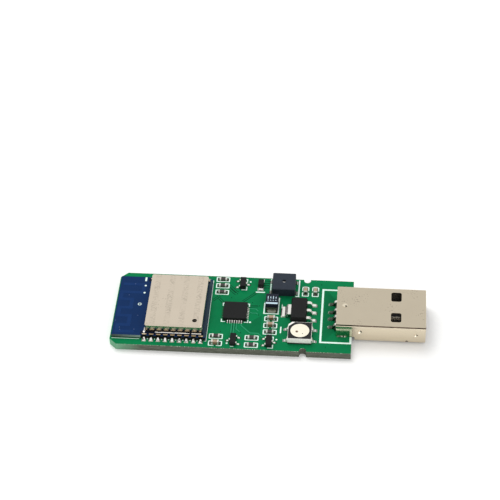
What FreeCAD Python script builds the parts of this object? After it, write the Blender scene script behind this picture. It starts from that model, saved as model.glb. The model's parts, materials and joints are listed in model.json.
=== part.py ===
import FreeCAD, Part
import math
import os

# Bare circuit-board stick of a radio attack detector, with a USB plug soldered on its end.
# Millimetres. Origin at the middle of the underside, X along the stick towards the plug's mouth,
# Y across it, Z up from the surface it lies on. Places along the stick are first given from the
# board's left end, and heights of soldered parts from the board's upper face.

Vector = FreeCAD.Vector
nodes = {}

# Main board
board_length = 51.0
board_width = 22.0
board_thickness = 1.6
board_corner_cut = 1.5
notch_width = 1.5
notch_depth = 1.0
notch_from_end = 10.1

# USB plug: shell, moulded insulator and contacts
plug_length = 18.9
plug_width = 12.0
plug_height = 4.5
plug_sheet = 0.3
plug_corner = 0.55
plug_on_board = 3.4
plug_below_board_top = 1.12
plug_edge_clearance = 0.6
plug_seam = 0.08
plug_seam_bevel = 0.12
plug_seam_recess = 0.12
plug_end_chamfer = 0.08
window_length = 2.2
window_width = 2.75
window_from_mouth = 5.2
window_spacing = 6.25
window_corner = 0.45
dimple_depth = 0.18
top_dimple_from_rear = 1.75
top_dimple_radius = 0.65
wall_dimples = ((5.05, 1.5, 0.5), (16.85, 1.15, 0.4))
nick_from_rear = 15.0
nick_length = 0.5
nick_height = 0.35
nick_depth = 0.2
nick_above_bottom = 0.12
leg_length = 1.9
leg_depth = 1.45
leg_from_rear = 0.35
leg_clearance = 0.2
leg_joint_reach = 0.25
leg_joint_rise = 0.2
leg_solder_inset = 0.1
insulator_inset = 0.35
insulator_clearance = 0.03
comb_out = 0.3
comb_width = 8.8
comb_height = 0.55
mating_depth = 11.9
tongue_height = 1.85
tongue_set_back = 0.4
tongue_lead_in = 0.5
contact_width = 1.0
contact_thickness = 0.25
contact_proud = 0.05
contact_clearance = 0.02
contact_set_backs = (1.6, 2.6, 2.6, 1.6)
contact_rows = (3.5, 1.0, -1.0, -3.5)
tail_width = 0.65
tail_drop = 0.5
tail_foot = 1.0
tail_bend = 0.3
tail_root = 0.5
tail_joint_reach = 0.35
tail_joint_spread = 1.5

# Radio module: its own board, with half holes along both long edges, and its metal can
module_from_left = 0.36
module_length = 20.0
module_width = 18.0
module_board_thickness = 0.8
half_hole_count = 9
half_hole_pitch = 1.5
half_hole_first = 6.95
half_hole_radius = 0.32
module_joint_reach = 0.85
module_joint_width = 0.9
module_joint_rise = 0.42
can_from_module_left = 6.95
can_length = 12.3
can_width = 15.7
can_height = 2.2
can_sheet = 0.2
can_rounding = 0.4
can_hole_radius = 0.5
can_hole_from_right = 1.77
can_hole_from_front = 1.7
can_gap_width = 0.6
can_gap_height = 0.25
can_gap_pitch = 3.0

# Parts under the can: length, width and height, and their places from the can's middle
radio_chip_size = (5.0, 5.0, 0.85)
radio_chip_place = (-2.2, -3.4)
memory_chip_size = (6.0, 5.0, 0.8)
memory_chip_place = (0.0, 3.4)
crystal_size = (3.2, 2.5, 0.5)
crystal_lid_size = (2.8, 2.1, 0.2)
crystal_place = (3.0, -3.4)
covered_chip_draft = 0.02

# Serial chip, flat and square
serial_chip_size = 5.0
serial_chip_height = 0.85
serial_chip_stand_off = 0.05
serial_chip_place = (25.97, -0.2)
terminals_per_side = 7
terminal_pitch = 0.5
terminal_width = 0.25
terminal_inset = 0.55
terminal_height = 0.22
terminal_reach = 0.4
heat_pad_size = 3.1

# Buzzer
buzzer_length = 5.0
buzzer_width = 5.2
buzzer_height = 2.0
buzzer_place = (35.9, 8.2)
buzzer_corner = 0.25
buzzer_edge = 0.12
buzzer_base_height = 0.5
buzzer_roof = 0.25
buzzer_chamber_radius = 2.06
buzzer_hole_radius = 0.43
buzzer_part_radius = 2.0
yoke_thickness = 0.22
pole_radius = 0.6
pole_gap = 0.14
magnet_wall = 0.5
magnet_height = 0.62
coil_wall = 0.6
coil_clearance = 0.05
diaphragm_thickness = 0.08
armature_radius = 0.7
armature_thickness = 0.12
buzzer_terminal_width = 1.0
buzzer_terminal_thickness = 0.15
buzzer_terminal_reach = 0.35
buzzer_terminal_under = 1.0
buzzer_terminal_spacing = 3.2
buzzer_joint_reach = 0.3

# Regulator in its moulded body with a heat tab
regulator_length = 3.5
regulator_width = 6.5
regulator_height = 1.65
regulator_draft = 0.3
regulator_place = (39.55, 0.55)
regulator_lead_pitch = 2.3
regulator_lead_width = 0.72
regulator_tab_width = 3.0
regulator_lead_thickness = 0.25
regulator_span = 7.1
regulator_foot = 0.8
regulator_lead_root = 0.4
regulator_bend = 0.2

# Colour light in a moulded housing
led_size = 5.0
led_height = 1.6
led_place = (40.1, -6.35)
led_well_radius = 2.0
led_well_floor_radius = 1.6
led_well_depth = 0.95
led_corner_mark = 0.75
led_filling_below_rim = 0.04
led_lead_spacing = 3.3
led_lead_width = 0.9
led_lead_thickness = 0.15
led_lead_height = 0.7
led_lead_under = 0.9
led_lead_root = 0.4
led_joint_reach = 0.95
led_joint_rise = 0.45
led_die_size = 0.25
led_die_height = 0.15
led_die_places = ((0.35, -0.95), (0.55, -0.14), (0.35, 0.75))
led_driver_length = 0.55
led_driver_width = 0.5
led_driver_place = (-0.64, 0.2)

# Small transistors
transistor_length = 2.9
transistor_width = 1.3
transistor_height = 1.05
transistor_stand_off = 0.08
transistor_draft = 0.12
transistor_lead_width = 0.42
transistor_lead_thickness = 0.13
transistor_lead_pitch = 1.9
transistor_span = 2.55
transistor_foot = 0.35
transistor_lead_root = 0.2
transistor_places = ((26.95, 8.6, 0), (26.1, -8.75, 180), (33.68, -8.8, 0))

# Diode with flat leads
diode_length = 1.8
diode_width = 1.25
diode_height = 0.95
diode_draft = 0.1
diode_lead_width = 0.85
diode_lead_thickness = 0.16
diode_lead_root = 0.4
diode_span = 2.5
diode_joint_reach = 0.3
diode_joint_spread = 1.4
diode_place = (30.85, 8.75)

# Moulded tantalum capacitor
tantalum_length = 3.4
tantalum_width = 2.8
tantalum_height = 1.9
tantalum_stand_off = 0.1
tantalum_draft = 0.08
tantalum_terminal_width = 2.2
tantalum_terminal_thickness = 0.12
tantalum_terminal_under = 0.8
tantalum_terminal_root = 0.5
tantalum_joint_reach = 0.5
tantalum_joint_rise = 0.5
tantalum_place = (33.65, 2.55)

# Chip resistors and chip capacitors
chip_length = 1.6
chip_width = 0.8
resistor_height = 0.45
capacitor_height = 0.8
chip_end_length = 0.32
chip_end_wall = 0.03
resistor_places = (
    (22.5, 10.0, 0),
    (22.55, 8.02, 0),
    (22.57, 5.98, 0),
    (22.4, -7.57, 0),
    (29.98, -7.6, 0),
    (29.99, -9.75, 0),
    (33.68, -5.67, 0),
)
capacitor_places = (
    (22.4, -9.66, 0),
    (33.72, -1.66, 0),
    (33.66, -3.69, 0),
    (40.63, 7.2, 90),
    (42.78, 7.2, 90),
)
chip_joint_reach = 0.45

# Solder joints. The profile gives the share of the width, of the reach and of the height at
# each level, so that a joint is hollow in section.
fillet_taper = 0.65
fillet_profile = ((1.0, 1.0, 0.0), (0.9, 0.4, 0.35), (0.7, 0.1, 1.0))
pointed_profile = ((1.0, 1.0, 0.0), (0.75, 0.5, 0.45), (0.35, 0.1, 1.0))
chip_joint_rise = 0.7
lead_joint_reach = 0.4
lead_joint_spread = 1.3

# Small round forms that repeat are given this many flat sides, which keeps the mesh light
small_round_sides = 12

# Length by which a piece that is cut away or joined runs on into its neighbour
run_on = 1.0

# Values that follow from the sizes above
overall_length = board_length + plug_length - plug_on_board
board_left = -overall_length / 2
board_right = board_left + board_length
board_top = board_thickness
plug_rear = board_right - plug_on_board
plug_mouth = plug_rear + plug_length
plug_bottom = board_top - plug_below_board_top
plug_top = plug_bottom + plug_height
module_left = board_left + module_from_left
module_top = board_top + module_board_thickness
can_left = module_left + can_from_module_left


def keep(name, *solids):
    """Stores one node, as one solid or as a group of separate solids."""
    nodes[name] = solids[0] if len(solids) == 1 else Part.makeCompound(list(solids))


def block(x0, x1, y0, y1, z0, z1):
    return Part.makeBox(x1 - x0, y1 - y0, z1 - z0, Vector(x0, y0, z0))


def centred_block(length, width, z0, z1):
    return block(-length / 2, length / 2, -width / 2, width / 2, z0, z1)


def disc(radius, z0, z1, x=0, y=0):
    return Part.makeCylinder(radius, z1 - z0, Vector(x, y, z0))


def ring(outer, inner, z0, z1):
    return disc(outer, z0, z1).cut(disc(inner, z0, z1))


def moved(shape, x=0, y=0, z=0, turn=0):
    """A copy of a shape, turned about Z and then moved."""
    copy = shape.copy()
    copy.rotate(Vector(0, 0, 0), Vector(0, 0, 1), turn)
    copy.translate(Vector(x, y, z))
    return copy


def on_board(shape, place, turn=0):
    """Seats a shape, made about the origin, on the board's upper face."""
    return moved(shape, board_left + place[0], place[1], board_top, turn)


def closed_outline(corners):
    return Part.makePolygon(corners + corners[:1])


def closed_face(corners):
    return Part.Face(closed_outline(corners))


def rectangle(length, width, z):
    sides = ((-1, -1), (1, -1), (1, 1), (-1, 1))
    return closed_outline([Vector(x * length / 2, y * width / 2, z) for x, y in sides])


def moulded_body(length, width, low, high, draft):
    """A body that tapers from the parting line at half its height, up and down."""
    parting = (low + high) / 2
    shrink = 2 * draft * (high - parting)
    sections = [
        rectangle(length - shrink, width - shrink, low),
        rectangle(length, width, parting),
        rectangle(length - shrink, width - shrink, high),
    ]
    return Part.makeLoft(sections, True, True)


def eased(route, bend):
    """A route whose corners are cut off at the bend's distance, so that each turns in two steps."""
    soft = [route[0]]
    for before, corner, after in zip(route, route[1:], route[2:]):
        for other in (before, after):
            share = bend / math.dist(corner, other)
            soft.append(tuple(here + (there - here) * share for here, there in zip(corner, other)))
    return soft + [route[-1]]


def bent_strip(route, thickness, width):
    """A flat strip along a route of (x, z) points, with mitred corners and its width centred on Y = 0."""
    points = [Vector(x, 0, z) for x, z in route]
    runs = [(b - a).normalize() for a, b in zip(points, points[1:])]
    lefts = [Vector(-run.z, 0, run.x) * (thickness / 2) for run in runs]
    reaches = [lefts[0]]
    for before, after in zip(lefts, lefts[1:]):
        between = before + after
        reaches.append(between * (2 * before.dot(before) / between.dot(between)))
    reaches.append(lefts[-1])
    upper = [point + reach for point, reach in zip(points, reaches)]
    lower = [point - reach for point, reach in zip(points, reaches)]
    strip = closed_face(upper + lower[::-1]).extrude(Vector(0, width, 0))
    strip.translate(Vector(0, -width / 2, 0))
    return strip


def fillet_section(width, reach, slant, z):
    """A closed outline in plan, whose sides draw in from the width by the slant towards X = reach."""
    narrow = width / 2 - slant * reach
    plan = ((0, -width / 2), (reach, -narrow), (reach, narrow), (0, width / 2))
    return closed_outline([Vector(x, y, z) for x, y in plan])


def solder_fillet(width, reach, height, profile=fillet_profile):
    """Solder drawn up a vertical wall at X = 0, hollow in section, on a pad towards +X."""
    slant = width * (1 - fillet_taper) / 2 / reach
    sections = []
    for across, along, up in profile:
        sections.append(fillet_section(width * across, reach * along, slant, height * up))
    return Part.makeLoft(sections, True, True)


def small_round_corners(radius, first_step, last_step):
    """Corners on a circle about the origin, from one step of the small round forms to another."""
    step_angle = 2 * math.pi / small_round_sides
    angles = [step * step_angle for step in range(first_step, last_step + 1)]
    return [Vector(radius * math.cos(angle), radius * math.sin(angle), 0) for angle in angles]


def small_round(radius, z):
    outline = closed_outline(small_round_corners(radius, 0, small_round_sides - 1))
    outline.translate(Vector(0, 0, z))
    return outline


def slot_prism(length, width, z0, z1, x, y):
    """A slot along X with small round ends."""
    quarter = small_round_sides // 4
    to_end = Vector((length - width) / 2, 0, 0)
    right = [corner + to_end for corner in small_round_corners(width / 2, -quarter, quarter)]
    left = [corner - to_end for corner in small_round_corners(width / 2, quarter, 3 * quarter)]
    slot = closed_face(right + left).extrude(Vector(0, 0, z1 - z0))
    slot.translate(Vector(x, y, z0))
    return slot


def edges_where(shape, test):
    return [edge for edge in shape.Edges if test(edge)]


def runs_along(edge, axis):
    """True for a straight edge along X, Y or Z."""
    if not isinstance(edge.Curve, (Part.Line, Part.LineSegment)):
        return False
    run = edge.Vertexes[-1].Point - edge.Vertexes[0].Point
    return run.Length > 0 and abs(abs(run.normalize().dot(axis)) - 1) < 1e-6


ALONG_X = Vector(1, 0, 0)
ALONG_Z = Vector(0, 0, 1)


def leg_place():
    """Middle of a plug leg along X, and the middle of its wall across Y."""
    return plug_rear + leg_from_rear + leg_length / 2, plug_width / 2 - plug_sheet / 2


def plug_leg(side):
    """One leg of the plug, in the line of the shell's wall on that side."""
    leg_x, leg_y = leg_place()
    half = leg_length / 2
    middle = side * leg_y
    return block(leg_x - half, leg_x + half, middle - plug_sheet / 2, middle + plug_sheet / 2,
                 board_top - leg_depth, board_top)


def make_main_board():
    cut = board_corner_cut
    half = board_width / 2
    outline = [
        (board_left + cut, -half),
        (board_right, -half),
        (board_right, half),
        (board_left + cut, half),
        (board_left, half - cut),
        (board_left, cut - half),
    ]
    laminate = closed_face([Vector(x, y, 0) for x, y in outline]).extrude(Vector(0, 0, board_thickness))
    notch_x = board_right - notch_from_end
    radius = notch_width / 2
    for side in (-1, 1):
        bottom_y = side * (half - notch_depth + radius)
        laminate = laminate.cut(disc(radius, 0, board_thickness, notch_x, bottom_y))
        mouth = sorted((bottom_y, side * (half + radius)))
        laminate = laminate.cut(block(notch_x - radius, notch_x + radius, *mouth, 0, board_thickness))
        leg_x, leg_y = leg_place()
        slot_length = leg_length + 2 * leg_clearance
        slot_width = plug_sheet + 2 * leg_clearance
        laminate = laminate.cut(slot_prism(slot_length, slot_width, 0, board_thickness, leg_x, side * leg_y))
    keep("main_board", laminate)


def half_hole_places():
    """The half holes' axes on both long edges, with the side each is on."""
    for side in (-1, 1):
        for index in range(half_hole_count):
            x = module_left + half_hole_first + index * half_hole_pitch
            yield x, side * module_width / 2, side


def make_radio_module():
    half = module_width / 2
    laminate = block(module_left, module_left + module_length, -half, half, board_top, module_top)
    hole = Part.Face(small_round(half_hole_radius, 0)).extrude(Vector(0, 0, module_board_thickness))
    for x, y, side in half_hole_places():
        laminate = laminate.cut(moved(hole, x, y, board_top))
    keep("module_board", laminate)

    joint = solder_fillet(module_joint_width, module_joint_reach, module_joint_rise, pointed_profile)
    joints = [moved(joint, x, y, board_top, 90 * side) for x, y, side in half_hole_places()]
    keep("module_solder_joints", *joints)


def make_shield_can():
    """Pressed can, open below, with a round hole and small gaps along its foot."""
    outer = centred_block(can_length, can_width, 0, can_height)
    upright = edges_where(outer, lambda edge: runs_along(edge, ALONG_Z))
    upper = edges_where(outer, lambda edge: min(vertex.Z for vertex in edge.Vertexes) > can_height - 0.01)
    outer = outer.makeFillet(can_rounding, upright + upper)
    inner_length = can_length - 2 * can_sheet
    inner_width = can_width - 2 * can_sheet
    inner = centred_block(inner_length, inner_width, 0, can_height - can_sheet)
    upright = edges_where(inner, lambda edge: runs_along(edge, ALONG_Z))
    inner = inner.makeFillet(can_rounding - can_sheet, upright)
    can = outer.cut(inner)
    hole_x = can_length / 2 - can_hole_from_right
    hole_y = can_hole_from_front - can_width / 2
    can = can.cut(disc(can_hole_radius, 0, can_height, hole_x, hole_y))
    gap_count = int((can_length - 2 * can_rounding) / can_gap_pitch)
    for index in range(gap_count):
        x = (index - (gap_count - 1) / 2) * can_gap_pitch
        can = can.cut(block(x - can_gap_width / 2, x + can_gap_width / 2, -can_width, can_width, 0, can_gap_height))
    keep("shield_can", moved(can, can_left + can_length / 2, 0, module_top))


def make_parts_in_can():
    """The chips that the can covers: radio, memory and crystal."""
    middle = can_left + can_length / 2
    for name, size, place in (("radio_chip", radio_chip_size, radio_chip_place),
                              ("memory_chip", memory_chip_size, memory_chip_place)):
        length, width, height = size
        chip = moulded_body(length, width, 0, height, covered_chip_draft)
        keep(name, moved(chip, middle + place[0], place[1], module_top))
    length, width, height = crystal_size
    lid_length, lid_width, lid_height = crystal_lid_size
    crystal = centred_block(length, width, 0, height)
    crystal = crystal.fuse(centred_block(lid_length, lid_width, height, height + lid_height))
    keep("crystal", moved(crystal, middle + crystal_place[0], crystal_place[1], module_top))


def make_serial_chip():
    """Flat square chip with seven terminals on each side and a heat pad under it."""
    half = serial_chip_size / 2
    body = centred_block(serial_chip_size, serial_chip_size, serial_chip_stand_off, serial_chip_height)
    contact = block(half - terminal_inset, half, -terminal_width / 2, terminal_width / 2, 0, terminal_height)
    toe = solder_fillet(terminal_width, terminal_reach, terminal_height)
    toe.translate(Vector(half, 0, 0))
    terminal = contact.fuse(toe)
    terminals = []
    for turn in (0, 90, 180, 270):
        for index in range(terminals_per_side):
            offset = (index - (terminals_per_side - 1) / 2) * terminal_pitch
            terminals.append(moved(moved(terminal, 0, offset), turn=turn))
    heat_pad = centred_block(heat_pad_size, heat_pad_size, 0, 2 * serial_chip_stand_off)
    terminals.append(heat_pad)
    body = body.cut(Part.makeCompound(terminals))
    keep("serial_chip", on_board(body, serial_chip_place))
    keep("serial_chip_terminals", *[on_board(piece, serial_chip_place) for piece in terminals])


def make_buzzer():
    """Magnetic buzzer: moulded case over a base, with its yoke, magnet, coil and diaphragm."""
    case = centred_block(buzzer_length, buzzer_width, buzzer_base_height, buzzer_height)
    case = case.makeFillet(buzzer_corner, edges_where(case, lambda edge: runs_along(edge, ALONG_Z)))
    upper = edges_where(case, lambda edge: min(vertex.Z for vertex in edge.Vertexes) > buzzer_height - 0.01)
    case = case.makeChamfer(buzzer_edge, upper)
    case = case.cut(disc(buzzer_chamber_radius, 0, buzzer_height - buzzer_roof))
    case = case.cut(disc(buzzer_hole_radius, 0, buzzer_height))

    base = centred_block(buzzer_length, buzzer_width, 0, buzzer_base_height)
    base = base.makeFillet(buzzer_corner, edges_where(base, lambda edge: runs_along(edge, ALONG_Z)))
    half = buzzer_length / 2
    thick = buzzer_terminal_thickness
    terminal = block(half - buzzer_terminal_under, half + buzzer_terminal_reach, -buzzer_terminal_width / 2,
                     buzzer_terminal_width / 2, 0, thick)
    terminals = []
    for turn in (0, 180):
        for side in (-1, 1):
            terminals.append(moved(moved(terminal, 0, side * buzzer_terminal_spacing / 2), turn=turn))
    base = base.cut(Part.makeCompound(terminals))

    floor = buzzer_base_height
    magnet_top = floor + yoke_thickness + magnet_height
    pole_top = magnet_top - pole_gap
    yoke = disc(buzzer_part_radius, floor, floor + yoke_thickness).fuse(disc(pole_radius, floor, pole_top))
    magnet = ring(buzzer_part_radius, buzzer_part_radius - magnet_wall, floor + yoke_thickness, magnet_top)
    coil_inner = pole_radius + coil_clearance
    coil = ring(coil_inner + coil_wall, coil_inner, floor + yoke_thickness, pole_top)
    diaphragm = disc(buzzer_part_radius, magnet_top, magnet_top + diaphragm_thickness)
    armature_top = magnet_top + diaphragm_thickness + armature_thickness
    diaphragm = diaphragm.fuse(disc(armature_radius, magnet_top + diaphragm_thickness, armature_top))
    keep("buzzer_case", on_board(case, buzzer_place))
    keep("buzzer_base", on_board(base, buzzer_place))
    keep("buzzer_yoke", on_board(yoke, buzzer_place))
    keep("buzzer_magnet", on_board(magnet, buzzer_place))
    keep("buzzer_coil", on_board(coil, buzzer_place))
    keep("buzzer_diaphragm", on_board(diaphragm, buzzer_place))
    keep("buzzer_terminals", *[on_board(piece, buzzer_place) for piece in terminals])


def gull_wing(root, height, span, foot, thickness, width, bend):
    """A lead that leaves a body at X = root, bends down and ends in a flat foot on the board."""
    toe = span / 2
    heel = toe - foot
    route = ((root, height), (heel - thickness, height), (heel, thickness / 2), (toe, thickness / 2))
    return bent_strip(eased(route, bend) if bend else route, thickness, width)


def make_regulator():
    """Moulded body with three bent leads and, across from them, one wide heat tab."""
    low = transistor_stand_off
    height = (low + regulator_height) / 2
    body = moulded_body(regulator_length, regulator_width, low, regulator_height, regulator_draft)
    root = regulator_length / 2 - regulator_lead_root
    sizes = (root, height, regulator_span, regulator_foot, regulator_lead_thickness)
    lead = gull_wing(*sizes, regulator_lead_width, regulator_bend)
    leads = [moved(lead, 0, row * regulator_lead_pitch) for row in (-1, 0, 1)]
    tab = moved(gull_wing(*sizes, regulator_tab_width, regulator_bend), turn=180)
    body = body.cut(Part.makeCompound(leads + [tab]))
    keep("regulator_body", on_board(body, regulator_place))
    keep("regulator_leads", *[on_board(lead, regulator_place) for lead in leads])
    keep("regulator_tab", on_board(tab, regulator_place))


def make_colour_light():
    """Square moulded housing with a round well, filled over three light chips and their driver."""
    half = led_size / 2
    housing = centred_block(led_size, led_size, 0, led_height)
    mark = centred_block(led_corner_mark * math.sqrt(2), led_corner_mark * math.sqrt(2), led_height / 2, led_height)
    housing = housing.cut(moved(mark, -half, half, turn=45))
    floor = led_height - led_well_depth
    well = Part.makeCone(led_well_floor_radius, led_well_radius, led_well_depth, Vector(0, 0, floor))
    housing = housing.cut(well)
    thick = led_lead_thickness
    outside = half + thick / 2
    route = ((half - led_lead_root, led_lead_height), (outside, led_lead_height), (outside, thick / 2),
             (half - led_lead_under, thick / 2))
    lead = bent_strip(route, thick, led_lead_width)
    leads = []
    for turn in (0, 180):
        for side in (-1, 1):
            leads.append(moved(moved(lead, 0, side * led_lead_spacing / 2), turn=turn))
    housing = housing.cut(Part.makeCompound(leads))

    die = centred_block(led_die_size, led_die_size, floor, floor + led_die_height)
    driver = centred_block(led_driver_length, led_driver_width, floor, floor + led_die_height)
    chips = [moved(driver, *led_driver_place)]
    for place in led_die_places:
        chips.append(moved(die, *place))
    filling = well.common(centred_block(led_size, led_size, floor, led_height - led_filling_below_rim))
    filling = filling.cut(Part.makeCompound(chips))
    keep("light_housing", on_board(housing, led_place))
    keep("light_filling", on_board(filling, led_place))
    keep("light_leads", *[on_board(lead, led_place) for lead in leads])
    keep("light_chips", *[on_board(chip, led_place) for chip in chips])


def make_transistors():
    """Three small bodies, each with two leads on one side and one on the other."""
    low = transistor_stand_off
    height = (low + transistor_height) / 2
    body = moulded_body(transistor_width, transistor_length, low, transistor_height, transistor_draft)
    root = transistor_width / 2 - transistor_lead_root
    lead = gull_wing(root, height, transistor_span, transistor_foot, transistor_lead_thickness,
                     transistor_lead_width, 0)
    leads = [lead]
    for side in (-1, 1):
        leads.append(moved(moved(lead, turn=180), 0, side * transistor_lead_pitch / 2))
    body = body.cut(Part.makeCompound(leads))
    for number, (x, y, turn) in enumerate(transistor_places, 1):
        keep(f"transistor_{number}_body", on_board(body, (x, y), turn))
        keep(f"transistor_{number}_leads", *[on_board(piece, (x, y), turn) for piece in leads])


def make_diode():
    body = moulded_body(diode_length, diode_width, 0, diode_height, diode_draft)
    lead = block(diode_length / 2 - diode_lead_root, diode_span / 2, -diode_lead_width / 2,
                 diode_lead_width / 2, 0, diode_lead_thickness)
    leads = [lead, moved(lead, turn=180)]
    body = body.cut(Part.makeCompound(leads))
    keep("diode_body", on_board(body, diode_place, 90))
    keep("diode_leads", *[on_board(piece, diode_place, 90) for piece in leads])


def make_tantalum():
    """Moulded block whose flat terminals wrap down each end and under it."""
    body = moulded_body(tantalum_length, tantalum_width, tantalum_stand_off, tantalum_height, tantalum_draft)
    thick = tantalum_terminal_thickness
    height = (tantalum_stand_off + tantalum_height) / 2
    end = tantalum_length / 2 + thick / 2
    route = ((end - tantalum_terminal_root, height), (end, height), (end, thick / 2),
             (end - tantalum_terminal_under, thick / 2))
    terminal = bent_strip(route, thick, tantalum_terminal_width)
    terminals = [terminal, moved(terminal, turn=180)]
    body = body.cut(Part.makeCompound(terminals))
    keep("tantalum_body", on_board(body, tantalum_place, 90))
    keep("tantalum_terminals", *[on_board(piece, tantalum_place, 90) for piece in terminals])


def chip_body_and_ends(height):
    """A ceramic block and the two metal caps that wrap its ends."""
    wall = chip_end_wall
    body = centred_block(chip_length - 2 * wall, chip_width - 2 * wall, wall, height - wall)
    half = chip_length / 2
    cap = block(half - chip_end_length, half, -chip_width / 2, chip_width / 2, 0, height).cut(body)
    return body, [cap, moved(cap, turn=180)]


def make_chips(kind, places, height):
    body, ends = chip_body_and_ends(height)
    all_ends = []
    for number, (x, y, turn) in enumerate(places, 1):
        keep(f"{kind}_{number}", on_board(body, (x, y), turn))
        all_ends += [on_board(end, (x, y), turn) for end in ends]
    keep(f"{kind}_ends", *all_ends)


def pairs_of_fillets(fillet, half_span, place, turn, rows=(0,)):
    """The same solder fillet at both ends of a part, once for each row of its leads."""
    solids = []
    for row in rows:
        for end in (0, 180):
            toe = moved(moved(fillet, half_span, row), turn=end)
            solids.append(on_board(toe, place, turn))
    return solids


def make_solder_joints():
    """Solder at the ends and toes of the soldered parts, except on the radio module.

    The joints of the small chips, of the other parts and of the plug's tails are a node each.
    """
    joints = []
    for places, height in ((resistor_places, resistor_height), (capacitor_places, capacitor_height)):
        fillet = solder_fillet(chip_width, chip_joint_reach, height * chip_joint_rise)
        for x, y, turn in places:
            joints += pairs_of_fillets(fillet, chip_length / 2, (x, y), turn)
    keep("chip_solder_joints", *joints)

    joints = []
    fillet = solder_fillet(tantalum_terminal_width, tantalum_joint_reach, tantalum_joint_rise)
    joints += pairs_of_fillets(fillet, tantalum_length / 2 + tantalum_terminal_thickness, tantalum_place, 90)
    fillet = solder_fillet(diode_lead_width * diode_joint_spread, diode_joint_reach, diode_lead_thickness)
    joints += pairs_of_fillets(fillet, diode_span / 2, diode_place, 90)
    fillet = solder_fillet(led_lead_width, led_joint_reach, led_joint_rise)
    rows = (-led_lead_spacing / 2, led_lead_spacing / 2)
    joints += pairs_of_fillets(fillet, led_size / 2 + led_lead_thickness, led_place, 0, rows)
    fillet = solder_fillet(buzzer_terminal_width, buzzer_joint_reach, buzzer_terminal_thickness)
    rows = (-buzzer_terminal_spacing / 2, buzzer_terminal_spacing / 2)
    joints += pairs_of_fillets(fillet, buzzer_length / 2 + buzzer_terminal_reach, buzzer_place, 0, rows)

    toe = solder_fillet(transistor_lead_width * lead_joint_spread, lead_joint_reach, transistor_lead_thickness)
    for x, y, turn in transistor_places:
        for end, row in ((0, 0), (180, transistor_lead_pitch / 2), (180, -transistor_lead_pitch / 2)):
            seated = moved(moved(toe, transistor_span / 2, row), turn=end)
            joints.append(on_board(seated, (x, y), turn))
    toe = solder_fillet(regulator_lead_width * lead_joint_spread, lead_joint_reach, regulator_lead_thickness)
    for row in (-1, 0, 1):
        seated = moved(toe, regulator_span / 2, row * regulator_lead_pitch)
        joints.append(on_board(seated, regulator_place))
    toe = solder_fillet(regulator_tab_width, lead_joint_reach, regulator_lead_thickness)
    joints.append(on_board(moved(moved(toe, regulator_span / 2), turn=180), regulator_place))
    keep("lead_solder_joints", *joints)

    toe = solder_fillet(tail_width * tail_joint_spread, tail_joint_reach, contact_thickness)
    keep("tail_solder_joints", *[moved(toe, tail_toe(), row, board_top, 180) for row in contact_rows])


def tail_toe():
    """X of the ends of the plug's tails on the board."""
    return plug_rear - tail_drop - tail_foot


def rounded_tube(x0, x1, inset, corner):
    """The plug's outline less an inset. Three long edges are round and the seam's edge is square."""
    half = plug_width / 2 - inset
    shape = block(x0, x1, -half, half, plug_bottom + inset, plug_top - inset)
    seam_edge = Vector(0, -half, plug_top - inset)

    def is_round(edge):
        start = edge.Vertexes[0].Point
        on_seam = abs(start.y - seam_edge.y) < 0.001 and abs(start.z - seam_edge.z) < 0.001
        return runs_along(edge, ALONG_X) and not on_seam

    return shape.makeFillet(corner, edges_where(shape, is_round))


def dimple(place, inwards, radius):
    """The hollow of a punch mark, pressed in from a place on the plug's outside."""
    sections = [small_round(radius, 0), small_round(radius / 2, dimple_depth)]
    hollow = Part.makeLoft(sections, True, True)
    hollow.Placement = FreeCAD.Placement(place, FreeCAD.Rotation(ALONG_Z, inwards))
    return hollow


def make_plug_shell():
    """One sheet folded round until its upper side lies over its front wall, along an open seam.

    It has four windows, punch marks, a nick in its lower front edge, and a leg on each side. Its
    lower part ends short of the board, and its upper part lies on the board.
    """
    outer = rounded_tube(plug_rear, plug_mouth, 0, plug_corner)
    ends = edges_where(outer, lambda edge: len({round(vertex.X, 3) for vertex in edge.Vertexes}) == 1)
    outer = outer.makeChamfer(plug_end_chamfer, ends)
    shell = outer.cut(rounded_tube(plug_rear, plug_mouth, plug_sheet, plug_corner - plug_sheet))
    front = -plug_width / 2
    seam_top = plug_top - plug_sheet
    wall_end = seam_top - plug_seam
    seam = ((front, plug_top), (front, wall_end - plug_seam_bevel), (front + plug_seam_bevel, wall_end),
            (front + plug_sheet, wall_end), (front + plug_sheet, seam_top),
            (front + plug_seam_recess, seam_top), (front + plug_seam_recess, plug_top))
    seam = closed_face([Vector(plug_rear, y, z) for y, z in seam]).extrude(Vector(plug_length, 0, 0))
    shell = shell.cut(seam)

    window_x = plug_mouth - window_from_mouth - window_length / 2
    for row in (-1, 1):
        window = block(window_x - window_length / 2, window_x + window_length / 2, -window_width / 2,
                       window_width / 2, plug_bottom - run_on, plug_top + run_on)
        window = window.makeFillet(window_corner, edges_where(window, lambda edge: runs_along(edge, ALONG_Z)))
        shell = shell.cut(moved(window, 0, row * window_spacing / 2))

    upper = Vector(plug_rear + top_dimple_from_rear, 0, plug_top)
    shell = shell.cut(dimple(upper, Vector(0, 0, -1), top_dimple_radius))
    for side in (-1, 1):
        for from_rear, above_board, radius in wall_dimples:
            place = Vector(plug_rear + from_rear, side * plug_width / 2, board_top + above_board)
            shell = shell.cut(dimple(place, Vector(0, -side, 0), radius))

    nick_x = plug_rear + nick_from_rear
    nick_z = plug_bottom + nick_above_bottom
    shell = shell.cut(block(nick_x - nick_length / 2, nick_x + nick_length / 2, front - run_on, front + nick_depth,
                            nick_z, nick_z + nick_height))

    edge = board_right + plug_edge_clearance
    shell = shell.cut(block(plug_rear - run_on, edge, -plug_width, plug_width, 0, board_top))
    for side in (-1, 1):
        shell = shell.fuse(plug_leg(side))
    keep("usb_shell", shell.removeSplitter())


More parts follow.
